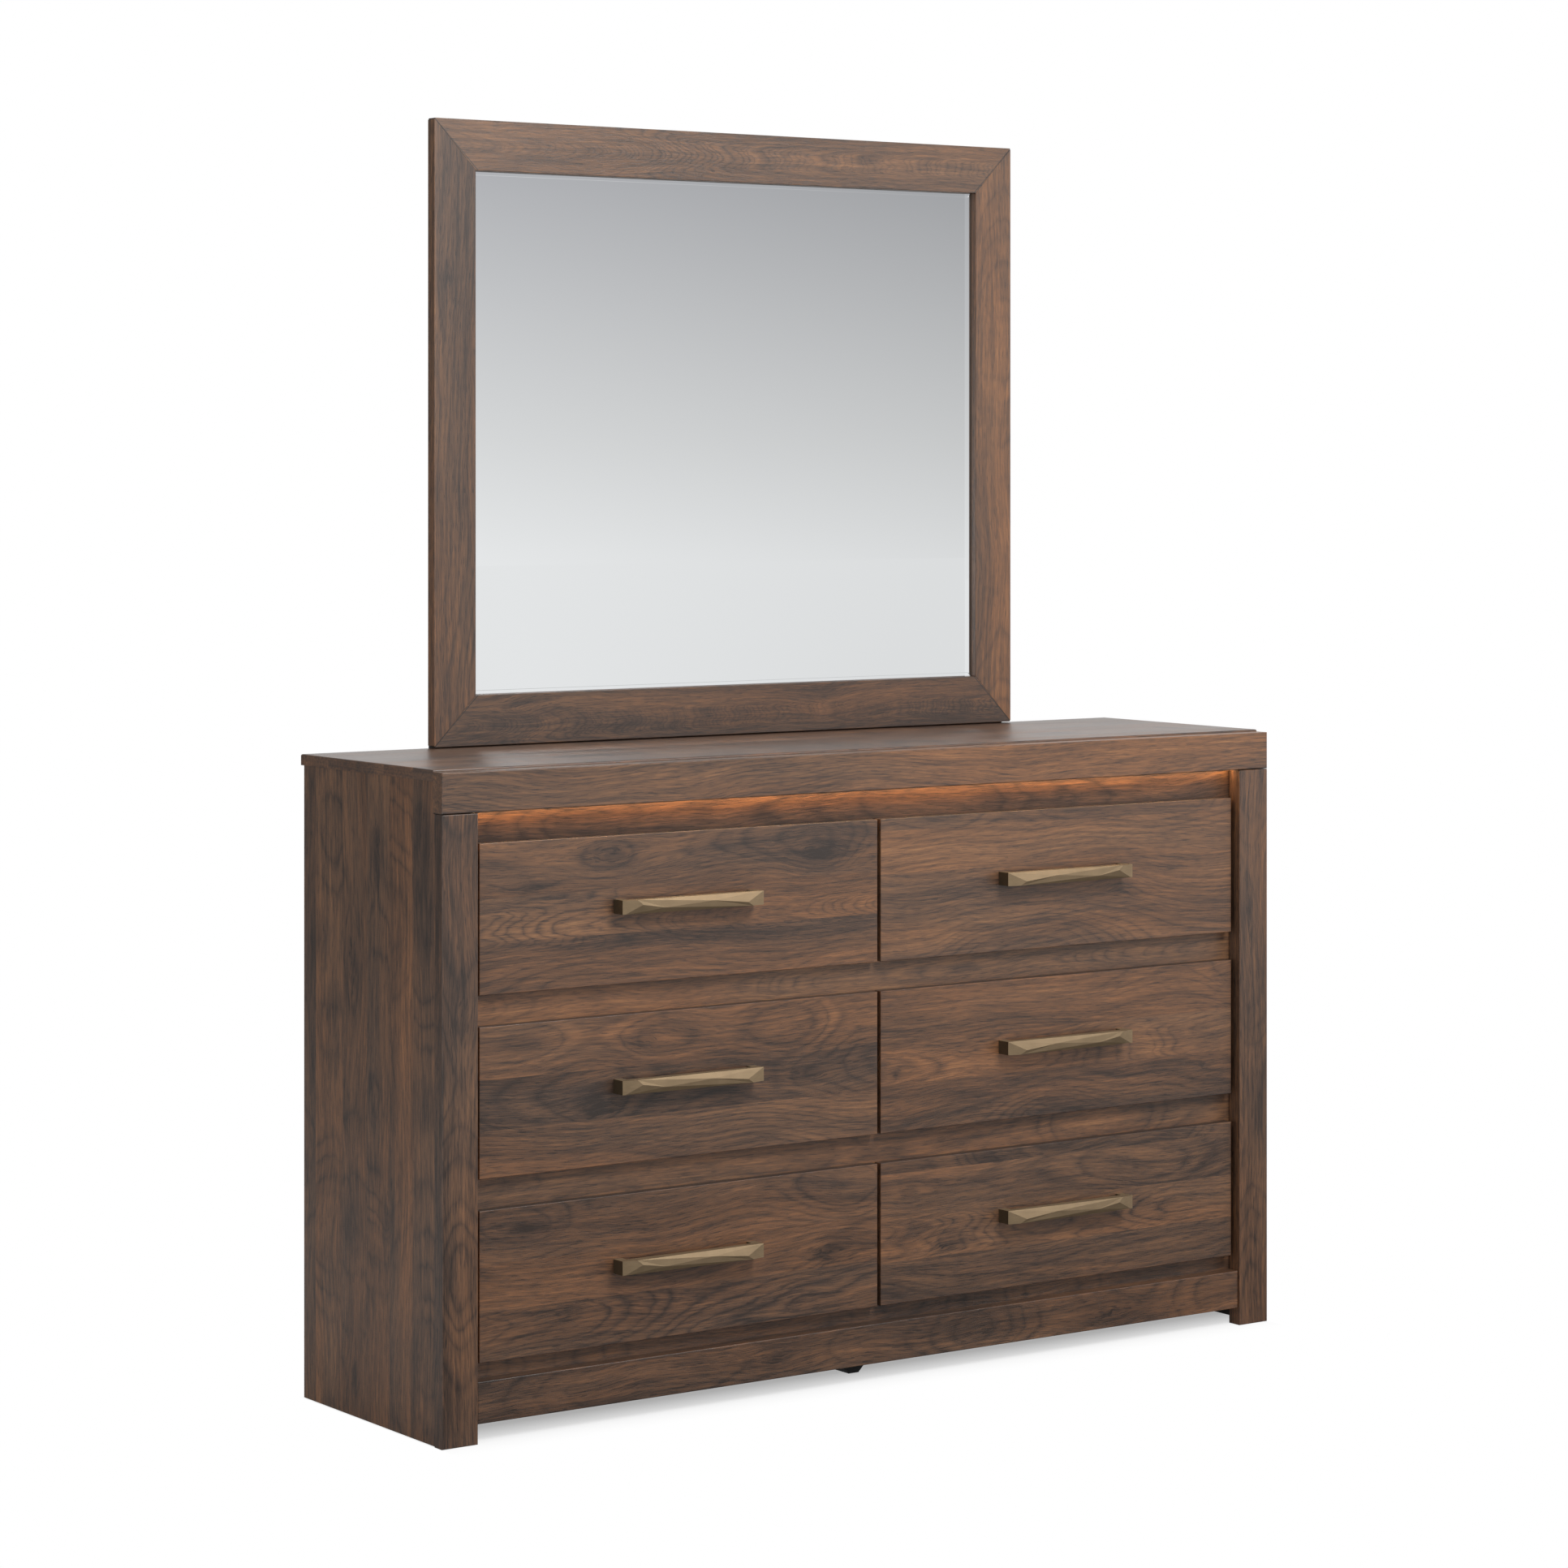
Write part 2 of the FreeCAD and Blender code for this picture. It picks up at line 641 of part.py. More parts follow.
def supports():
    """Two uprights that hold the mirror behind the dresser, with their bolts and spacers."""
    low = middle_rail_z - rear_rail_height / 2 - support_bottom_lap
    bolts = []
    drills = []
    for x, z in lower_bolts() + upper_bolts():
        seat = Vector(x, bolt_head_y - bolt_head_height, z)
        shank = rod(bolt_radius, Vector(x, bolt_tip_y(z), z), seat)
        bolts.append(shank.fuse(rod(bolt_head_radius, seat, Vector(x, bolt_head_y, z))))
        sink = rod(bolt_head_radius + bolt_clearance, seat, Vector(x, support_back_y + cut_overrun, z))
        drills += [bolt_hole(x, z), sink]
    for x, z in lower_bolts():
        ring = rod(spacer_radius, Vector(x, back_face_y, z), Vector(x, top_back_y, z))
        bolts.append(ring.cut(bolt_hole(x, z)))
    width = (support_x - support_width / 2, support_x + support_width / 2)
    upright = board(width, (top_back_y, support_back_y), (low, support_top_z))
    write("mirror_supports", upright.cut(drills), mirrored(upright).cut(drills))
    write("support_bolts", *bolts)


def tip_brackets():
    """Two angle brackets on the back, each with a hole for a wall tie."""
    high = under_top_z - bracket_drop
    back_y = back_face_y + bracket_reach
    width = (bracket_x - bracket_width / 2, bracket_x + bracket_width / 2)
    leg = board(width, (back_face_y, back_face_y + bracket_steel), (high - bracket_height, high))
    shelf = board(width, (back_face_y, back_y), (high - bracket_steel, high))
    hole_y = (back_face_y + bracket_steel + back_y) / 2
    hole = rod(bracket_hole_radius, Vector(bracket_x, hole_y, high - bracket_steel - cut_overrun),
               Vector(bracket_x, hole_y, high + cut_overrun))
    bracket = leg.fuse(shelf).removeSplitter().cut(hole)
    write("tip_brackets", bracket, mirrored(bracket))


os.makedirs("parts", exist_ok=True)
carcass()
feet()
cabinet_parts()
for row, row_name in enumerate(row_names):
    for column_name in column_names:
        drawer(row, row_name, column_name)
lamp()
power_feed()
mirror()
supports()
tip_brackets()
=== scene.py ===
"""A dresser with a lit fascia and a framed mirror: its finishes, its small fittings and a plain studio."""

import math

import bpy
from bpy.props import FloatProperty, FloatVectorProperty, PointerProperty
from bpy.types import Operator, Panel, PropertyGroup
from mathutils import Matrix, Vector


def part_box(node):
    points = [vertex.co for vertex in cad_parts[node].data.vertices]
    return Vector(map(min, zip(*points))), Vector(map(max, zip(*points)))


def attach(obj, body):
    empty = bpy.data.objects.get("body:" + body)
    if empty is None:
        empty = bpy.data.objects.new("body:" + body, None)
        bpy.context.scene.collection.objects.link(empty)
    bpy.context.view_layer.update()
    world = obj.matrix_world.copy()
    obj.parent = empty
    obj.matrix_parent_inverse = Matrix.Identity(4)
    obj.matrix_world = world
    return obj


bl_info = {
    "name": "Dresser with Mirror",
    "version": (1, 0, 0),
    "blender": (4, 5, 0),
    "location": "View3D > Sidebar > Dresser",
    "description": "Finishes a walnut dresser with drawers, a light strip and a framed mirror",
    "category": "Object",
}

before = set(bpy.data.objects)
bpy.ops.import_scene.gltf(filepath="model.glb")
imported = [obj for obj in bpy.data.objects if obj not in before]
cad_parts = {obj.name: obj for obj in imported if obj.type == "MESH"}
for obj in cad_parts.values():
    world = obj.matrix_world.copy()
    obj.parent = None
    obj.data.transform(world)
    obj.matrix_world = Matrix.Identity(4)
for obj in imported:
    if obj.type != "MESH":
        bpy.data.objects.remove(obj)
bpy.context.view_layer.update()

ROWS = ("bottom", "middle", "top")
COLUMNS = ("left", "right")
DRAWERS = ["%s_%s" % (row, column) for row in ROWS for column in COLUMNS]
MM = 0.001


def linear(red, green, blue):
    """A display colour, 0 to 255 a channel, as the linear colour that shaders take."""
    shares = [channel / 255 for channel in (red, green, blue)]
    return [s / 12.92 if s <= 0.04045 else ((s + 0.055) / 1.055) ** 2.4 for s in shares]


def color_property(name, description, red, green, blue):
    return FloatVectorProperty(name=name, description=description, subtype="COLOR", size=3, min=0, max=1,
                               default=linear(red, green, blue))


def length_property(name, description, length, **limits):
    return FloatProperty(name=name, description=description, subtype="DISTANCE", unit="LENGTH",
                         default=length, **limits)


def amount_property(name, description, amount, **limits):
    return FloatProperty(name=name, description=description, default=amount, min=0, **limits)


class WalnutSettings(PropertyGroup):
    """Colours and scale of the walnut figure."""
    heart: color_property("Heart", "The darkest streaks and knots", 50, 38, 31)
    dark: color_property("Dark", "Grey-brown bands", 79, 58, 45)
    middle: color_property("Middle", "The usual tone", 107, 76, 54)
    light: color_property("Light", "Warmer early wood", 135, 94, 63)
    pale: color_property("Pale", "The palest wood", 160, 115, 76)
    wave: length_property("Wave", "Slow swing of the grain across a board", 46 * MM)
    ripple: length_property("Ripple", "Short waver of the grain", 4.2 * MM)
    drift: length_property("Drift", "How far the pith wanders in depth", 50 * MM)
    ring: length_property("Ring pitch", "Distance between growth rings", 4.2 * MM, min=MM)
    flames: length_property("Flames", "How jagged the rings are along the grain", 2.5 * MM)
    ring_strength: amount_property("Ring strength", "Depth of the ring lines", 0.24)
    streaks: amount_property("Streaks", "Contrast along the grain", 1.0)
    lines: amount_property("Lines", "Contrast of the fine lines", 1.1)
    bands: amount_property("Bands", "Contrast between the rings", 0.5)
    pores: amount_property("Pores", "Darkness of the pores", 0.24)
    roughness: amount_property("Roughness", "Roughness of the laminate", 0.37, max=1)


class FittingSettings(PropertyGroup):
    """Colours of the metal, glass and plain boards."""
    brass: color_property("Brass", "Antiqued brass of the handles", 154, 133, 105)
    steel: color_property("Steel", "Zinc plate of the slides", 190, 190, 188)
    mirror: color_property("Mirror", "Silvered glass", 238, 240, 241)
    drawer_board: color_property("Drawer board", "Laminate of the drawer boxes", 168, 146, 120)
    plain_board: color_property("Plain board", "Inner carcass boards", 150, 128, 104)
    back_board: color_property("Back board", "The back panel", 120, 98, 78)
    inner_frame: color_property("Inner frame", "Stained step around the glass", 84, 62, 46)
    dark_board: color_property("Dark board", "Stained boards", 46, 40, 37)
    black: color_property("Black", "Feet, glides, the lead and the drawers' pads", 24, 23, 23)


class LampSettings(PropertyGroup):
    """The light strip under the fascia."""
    glow: color_property("Glow", "Colour of the light", 255, 213, 162)
    strength: amount_property("Strength", "Radiance of the diffuser", 15)
    channel: color_property("Channel", "Aluminium of the lamp's channel", 200, 200, 200)
    board: color_property("Board", "Board that carries the chips", 238, 234, 222)
    diffuser: color_property("Diffuser", "The diffuser when it is unlit", 245, 230, 205)


class StudioSettings(PropertyGroup):
    """Floor, light and camera."""
    world: amount_property("Ambient", "Even light from all round", 0.5)
    key: amount_property("Key", "Power of the large soft light in front", 115, unit="POWER")
    fill: amount_property("Fill", "Power of the low soft light on the left", 22, unit="POWER")
    floor_glow: amount_property("Floor glow", "Brightness of the floor where it is in full shadow", 0.4)
    room: amount_property("Room", "Brightness of the room at the left in reflections", 0.16)
    focal_length: amount_property("Focal length", "Lens in millimetres", 96.56)


def corners(node):
    """The lowest and highest corner of a CAD node, in millimetres."""
    return [[size / MM for size in corner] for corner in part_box(node)]


def full_color(color):
    """A grey, or a colour with or without its alpha, as the four channels that a socket takes."""
    if isinstance(color, (int, float)):
        return (color, color, color, 1)
    return color if len(color) == 4 else (*color, 1)


class Graph:
    """Adds shader nodes to a tree and joins them."""

    def __init__(self, tree):
        self.tree = tree

    def put(self, socket, value):
        """Links an input to an output, or sets it to a value."""
        if isinstance(value, bpy.types.NodeSocket):
            self.tree.links.new(value, socket)
        else:
            socket.default_value = full_color(value) if socket.type == "RGBA" else value

    def fill(self, node, inputs):
        for name, value in inputs.items():
            self.put(node.inputs[name], value)

    def node(self, kind, inputs=(), **settings):
        node = self.tree.nodes.new(kind)
        for name, value in settings.items():
            setattr(node, name, value)
        self.fill(node, dict(inputs))
        return node

    def math(self, operation, *values, clamp=False):
        node = self.node("ShaderNodeMath", enumerate(values), operation=operation, use_clamp=clamp)
        return node.outputs[0]

    def vector(self, operation, *values):
        return self.node("ShaderNodeVectorMath", enumerate(values), operation=operation).outputs[0]

    def combine(self, x, y, z):
        return self.node("ShaderNodeCombineXYZ", enumerate((x, y, z))).outputs[0]

    def split(self, vector):
        return self.node("ShaderNodeSeparateXYZ", {0: vector}).outputs

    def noise(self, vector, scale, detail=2, roughness=0.5):
        inputs = {"Vector": vector, "Scale": scale, "Detail": detail, "Roughness": roughness}
        return self.node("ShaderNodeTexNoise", inputs).outputs["Fac"]

    def grain(self, place, along, across, detail=2, roughness=0.5):
        """Noise drawn out along the first axis, by its scales per metre along and across."""
        return self.noise(self.vector("MULTIPLY", place, (along, across, across)), 1, detail, roughness)

    def noise_line(self, place, scale, detail=2, roughness=0.5):
        """Noise along a single number."""
        inputs = {"W": place, "Scale": scale, "Detail": detail, "Roughness": roughness}
        return self.node("ShaderNodeTexNoise", inputs, noise_dimensions="1D").outputs["Fac"]

    def swing(self, value, amount):
        """A noise value turned from 0..1 to plus and minus half an amount."""
        return self.math("MULTIPLY", self.math("SUBTRACT", value, 0.5), amount)

    def ramp(self, value, stops, interpolation="LINEAR"):
        """A ramp whose stops are a place with a colour or a grey. It returns the ramp's colour and alpha."""
        node = self.node("ShaderNodeValToRGB", {"Fac": value})
        node.color_ramp.interpolation = interpolation
        elements = node.color_ramp.elements
        while len(elements) < len(stops):
            elements.new(0.5)
        for element, stop in zip(elements, stops):
            element.position = stop[0]
        for element, stop in zip(elements, stops):
            element.color = full_color(stop[1])
        return node.outputs

    def mix(self, share, first, second, blend="MIX"):
        node = self.node("ShaderNodeMix", data_type="RGBA", blend_type=blend)
        sockets = {socket.identifier: socket for socket in (*node.inputs, *node.outputs)}
        self.put(sockets["Factor_Float"], share)
        self.put(sockets["A_Color"], first)
        self.put(sockets["B_Color"], second)
        return sockets["Result_Color"]

    def bump(self, height, distance, strength):
        inputs = {"Height": height, "Distance": distance, "Strength": strength}
        return self.node("ShaderNodeBump", inputs).outputs[0]

    def object_place(self):
        """The object coordinates, in metres."""
        return self.node("ShaderNodeTexCoord").outputs["Object"]

    def facing(self, axis, either_way=False):
        """Rises from 0 to 1 as a face turns to look along an axis, or either way along it."""
        part = self.split(self.node("ShaderNodeNewGeometry").outputs["Normal"])[axis]
        if either_way:
            part = self.math("ABSOLUTE", part)
        return self.math("MULTIPLY_ADD", part, 3, -2, clamp=True)

    def shader(self, kind, *inputs):
        return self.node(kind, enumerate(inputs)).outputs[0]

    def rays(self):
        """Whether a ray is the camera's own, and whether it comes by a reflection or through glass."""
        path = self.node("ShaderNodeLightPath").outputs
        return path["Is Camera Ray"], self.math("MAXIMUM", path["Is Glossy Ray"], path["Is Transmission Ray"])


def new_material(name):
    """A material with an empty tree, its graph and its surface shader."""
    material = bpy.data.materials.new(name)
    material.use_nodes = True
    material.node_tree.nodes.clear()
    graph = Graph(material.node_tree)
    shader = graph.node("ShaderNodeBsdfPrincipled")
    graph.node("ShaderNodeOutputMaterial", {"Surface": shader.outputs[0]})
    return material, graph, shader


NOISES = {
    "wave": (3, 5, 1),
    "ripple": (11, 40),
    "flames": (5, 50),
    "figure": (0.9, 13, 4, 0.62),
    "lines": (10, 240, 3, 0.7),
    "pores": (55, 1300, 0),
    "rings": (3, 16, 1),
    "cool": (1.2, 9),
    "knots": (34, 150, 3, 0.7),
    "ragged": (14, 60, 3, 0.7),
    "skewed": (30, 90),
    "board": (6, 160, 4, 0.6),
}
DRIFT_SCALE = 2.2
BAND_SCALE = 60
SEED_DISTANCE = 37
PORE_START = 0.6
# The input for stains also carries painted shade.
FIGURE_INPUTS = ("Along", "Across", "Through", "Pith", "Depth", "Seed", "Tone", "Bend", "Rise", "StainAndShade",
                 "Show")
FIGURE_OUTPUTS = {"Color": "NodeSocketColor", "Sheen": "NodeSocketFloat", "Height": "NodeSocketFloat"}


def figure_group(look):
    """The node group that draws walnut: streaks along the grain, growth rings, pores and knots.

    A noise in NOISES is given by its scales per metre along and across the grain, its detail and its
    roughness."""
    group = bpy.data.node_groups.new("walnut_figure", "ShaderNodeTree")
    for name in FIGURE_INPUTS:
        group.interface.new_socket(name, in_out="INPUT", socket_type="NodeSocketFloat")
    for name, kind in FIGURE_OUTPUTS.items():
        group.interface.new_socket(name, in_out="OUTPUT", socket_type=kind)
    g = Graph(group)
    given = g.node("NodeGroupInput").outputs
    result = g.node("NodeGroupOutput")

    seed = g.math("MULTIPLY", given["Seed"], SEED_DISTANCE)
    offset = g.combine(seed, seed, seed)
    place = g.vector("ADD", g.combine(given["Along"], given["Across"], given["Through"]), offset)
    wave = g.swing(g.grain(place, *NOISES["wave"]), look.wave)
    ripple = g.swing(g.grain(place, *NOISES["ripple"]), look.ripple)
    flow = g.math("ADD", g.math("ADD", given["Across"], wave), g.math("ADD", ripple, given["Bend"]))
    flowing = g.vector("ADD", g.combine(given["Along"], flow, given["Through"]), offset)

    drift = g.swing(g.noise_line(g.math("ADD", given["Along"], seed), DRIFT_SCALE, 1), look.drift)
    lifted = g.math("ADD", drift, given["Rise"])
    depth = g.math("ADD", g.math("ADD", given["Depth"], given["Through"]), lifted)
    from_pith = g.math("SUBTRACT", flow, given["Pith"])
    squares = g.math("ADD", g.math("POWER", from_pith, 2), g.math("POWER", depth, 2))
    flames = g.swing(g.grain(flowing, *NOISES["flames"]), look.flames)
    radius = g.math("ADD", g.math("ADD", g.math("SQRT", squares), flames), seed)

    figure = g.grain(flowing, *NOISES["figure"])
    lines = g.grain(flowing, *NOISES["lines"])
    pores = g.math("GREATER_THAN", g.grain(flowing, *NOISES["pores"]), PORE_START)
    band = g.noise_line(radius, BAND_SCALE, 4, 0.65)
    uneven = g.math("MULTIPLY", g.noise_line(radius, BAND_SCALE), 3)
    phase = g.math("ADD", g.math("DIVIDE", radius, look.ring), uneven)
    late = g.math("POWER", g.math("MULTIPLY", g.math("PINGPONG", phase, 0.5), 2), 3)
    shown = g.math("MULTIPLY_ADD", g.grain(flowing, *NOISES["rings"]), 3, -0.75, clamp=True)
    shown = g.math("ADD", shown, given["Show"])
    late = g.math("MULTIPLY", late, g.math("MULTIPLY", shown, look.ring_strength))

    tone = given["Tone"]
    for noise, contrast in ((figure, look.streaks), (lines, look.lines), (band, look.bands)):
        tone = g.math("ADD", tone, g.swing(noise, contrast))
    for part in (late, g.math("MULTIPLY", pores, look.pores), given["StainAndShade"]):
        tone = g.math("SUBTRACT", tone, part)
    wood = g.ramp(tone, [(0.0, look.heart), (0.25, look.dark), (0.5, look.middle), (0.75, look.light),
                         (1.0, look.pale)])["Color"]
    cool = g.grain(flowing, *NOISES["cool"])
    tint = g.ramp(cool, [(0.42, (1.05, 1, 0.95)), (0.6, (0.94, 1, 1.08))])["Color"]
    g.fill(result, {"Color": g.mix(1, wood, tint, "MULTIPLY"),
                    "Sheen": g.math("ADD", g.swing(figure, 0.2), look.roughness),
                    "Height": g.math("SUBTRACT", figure, g.math("MULTIPLY", pores, 0.4))})
    return group


KNOT_RISE = 4 * MM
KNOT_CORE = 0.8
KNOT_HALO = 0.3
ARCH_SHOW = 0.5


def marks(g, along, across, knots, arches):
    """Sums the knots and arches of a board: how they bend the grain, lift the rings, and darken or lighten
    the wood, with stains and, along the fascia's and the light rail's edges, painted shade.
    """
    sums = {}

    def add(name, part):
        sums[name] = g.math("ADD", sums[name], part) if name in sums else part

    def near(mark):
        """How far ahead and aside of a mark a point is, and how close it is to its middle."""
        place_along, place_across, length, width = (size * MM for size in mark[:4])
        aside = g.math("SUBTRACT", across, place_across)
        ahead = g.math("SUBTRACT", along, place_along)
        square = g.math("ADD", g.math("POWER", g.math("DIVIDE", ahead, length), 2),
                        g.math("POWER", g.math("DIVIDE", aside, width), 2))
        return ahead, aside, fade(square)

    def fade(square, power=1):
        return g.math("EXPONENT", g.math("MULTIPLY", g.math("POWER", square, power), -1.0))

    streaky = g.grain(g.combine(along, across, 0), *NOISES["knots"])
    streaky = g.math("MULTIPLY_ADD", streaky, 2.8, -0.5)
    for knot in knots:
        push, dark = knot[4:]
        aside, close = near(knot)[1:]
        add("Bend", g.math("MULTIPLY", g.math("MULTIPLY", aside, close), -push))
        add("Rise", g.math("MULTIPLY", close, KNOT_RISE))
        core = g.math("MULTIPLY", g.math("POWER", close, 4), streaky)
        add("StainAndShade", g.math("MULTIPLY", core, dark * KNOT_CORE))
        add("StainAndShade", g.math("MULTIPLY", close, dark * KNOT_HALO))
    for arch in arches:
        width, slant, curve, dark = arch[3:]
        ahead, aside, close = near(arch)
        add("StainAndShade", g.math("MULTIPLY", close, dark))
        if slant:
            slope = g.math("ADD", ahead, g.math("DIVIDE", g.math("POWER", aside, 2), curve * MM))
            inside = fade(g.math("POWER", g.math("DIVIDE", aside, width * MM), 2), 2)
            add("Rise", g.math("MULTIPLY", g.math("MULTIPLY", slope, inside), slant))
            add("Show", g.math("MULTIPLY", close, ARCH_SHOW))
    return sums


RAGGED_EDGE = 26 * MM
SKEWED_EDGE = 9 * MM
PITH_REACH = 4
DEEPEST_PITH = 100
MITRED = ("mirror_cross_rails", "mirror_side_rails")
MITRE_WIDTH = 1.6
MITRE_STAIN = 0.6
# How much painted shade darkens the upper edge of a drawer front, where the rail above shades it.
EDGE_PAINTED_SHADE = 0.45
GLOSS = {"light_rail": 0.45, "top_panel": 1.0}
USUAL_GLOSS = 0.8


def mitre_line(g, axes):
    """A fine line across the corners of the mirror's frame, which is 1 in its middle."""
    half = corners("mirror_side_rails")[1][0]
    bottom, top = (corner[2] for corner in corners("mirror_cross_rails"))
    beyond = g.math("SUBTRACT", g.math("ABSOLUTE", axes["X"]), half * MM)
    upper = g.math("ABSOLUTE", g.math("SUBTRACT", beyond, g.math("SUBTRACT", axes["Z"], top * MM)))
    lower = g.math("ABSOLUTE", g.math("SUBTRACT", beyond, g.math("SUBTRACT", bottom * MM, axes["Z"])))
    return g.math("MULTIPLY_ADD", g.math("MINIMUM", upper, lower), -1 / (MITRE_WIDTH * MM), 1, clamp=True)


def stave_values(g, place, low, high, staves):
    """The tone, pith, depth and seed of the stave at a place across a board, read from a stepped ramp."""
    size = high - low
    share = g.math("MULTIPLY_ADD", place, 1 / (size * MM), -low / size)
    stops = [(min(max((start - low) / size, 0), 1),
              (tone, (pith - low) / size / PITH_REACH + 0.5, depth / DEEPEST_PITH, seed))
             for start, tone, pith, depth, seed in staves]
    table = g.ramp(share, stops, "CONSTANT")
    tone, pith, depth = g.node("ShaderNodeSeparateColor", {0: table["Color"]}).outputs
    return {"Tone": tone,
            "Pith": g.math("MULTIPLY_ADD", pith, PITH_REACH * size * MM, (low - PITH_REACH / 2 * size) * MM),
            "Depth": g.math("MULTIPLY", depth, DEEPEST_PITH * MM), "Seed": table["Alpha"]}


def walnut(node, group, grain, staves, knots=(), arches=()):
    """Walnut for one board, with the grain along grain[0] and staves side by side along grain[1].

    In millimetres, a stave is (where it starts, tone, place of the pith, depth of the pith, seed). A knot is
    (place along, place across, length, width, push on the grain, darkening), and an arch of close rings is
    (place along, place across, length, width, slant of the rings, how blunt its tip is, darkening). The
    mitres of the mirror's frame are stained darker, and the up-facing upper edge of a drawer front gets
    painted shade."""
    material, g, shader = new_material(node + "_walnut")
    axes = g.split(g.object_place())
    low, high = (corner["XYZ".index(grain[1])] for corner in corners(node))
    along, across, through = (axes[axis] for axis in grain)
    values = {"Along": along, "Across": across, "Through": through}
    values.update(stave_values(g, across, low, high, staves))

    place = g.combine(along, across, through)
    ragged = g.swing(g.grain(place, *NOISES["ragged"]), RAGGED_EDGE)
    skewed = g.swing(g.grain(place, *NOISES["skewed"]), SKEWED_EDGE)
    values.update(marks(g, g.math("ADD", along, ragged), g.math("ADD", across, skewed), knots, arches))
    stain_and_shade = values.get("StainAndShade", 0.0)
    if node in MITRED:
        stain_and_shade = g.math("ADD", stain_and_shade, g.math("MULTIPLY", mitre_line(g, axes), MITRE_STAIN))
    # The up-facing upper edge of a drawer front is darkened with painted shade.
    if node.endswith("_front"):
        stain_and_shade = g.math("ADD", stain_and_shade, g.math("MULTIPLY", g.facing("Z"), EDGE_PAINTED_SHADE))
    values["StainAndShade"] = stain_and_shade
    figure = g.node("ShaderNodeGroup", values, node_tree=group).outputs
    g.fill(shader, {"Base Color": figure["Color"], "Roughness": figure["Sheen"],
                    "Normal": g.bump(figure["Height"], 0.2 * MM, 0.4),
                    "Specular IOR Level": GLOSS.get(node, USUAL_GLOSS)})
    return material


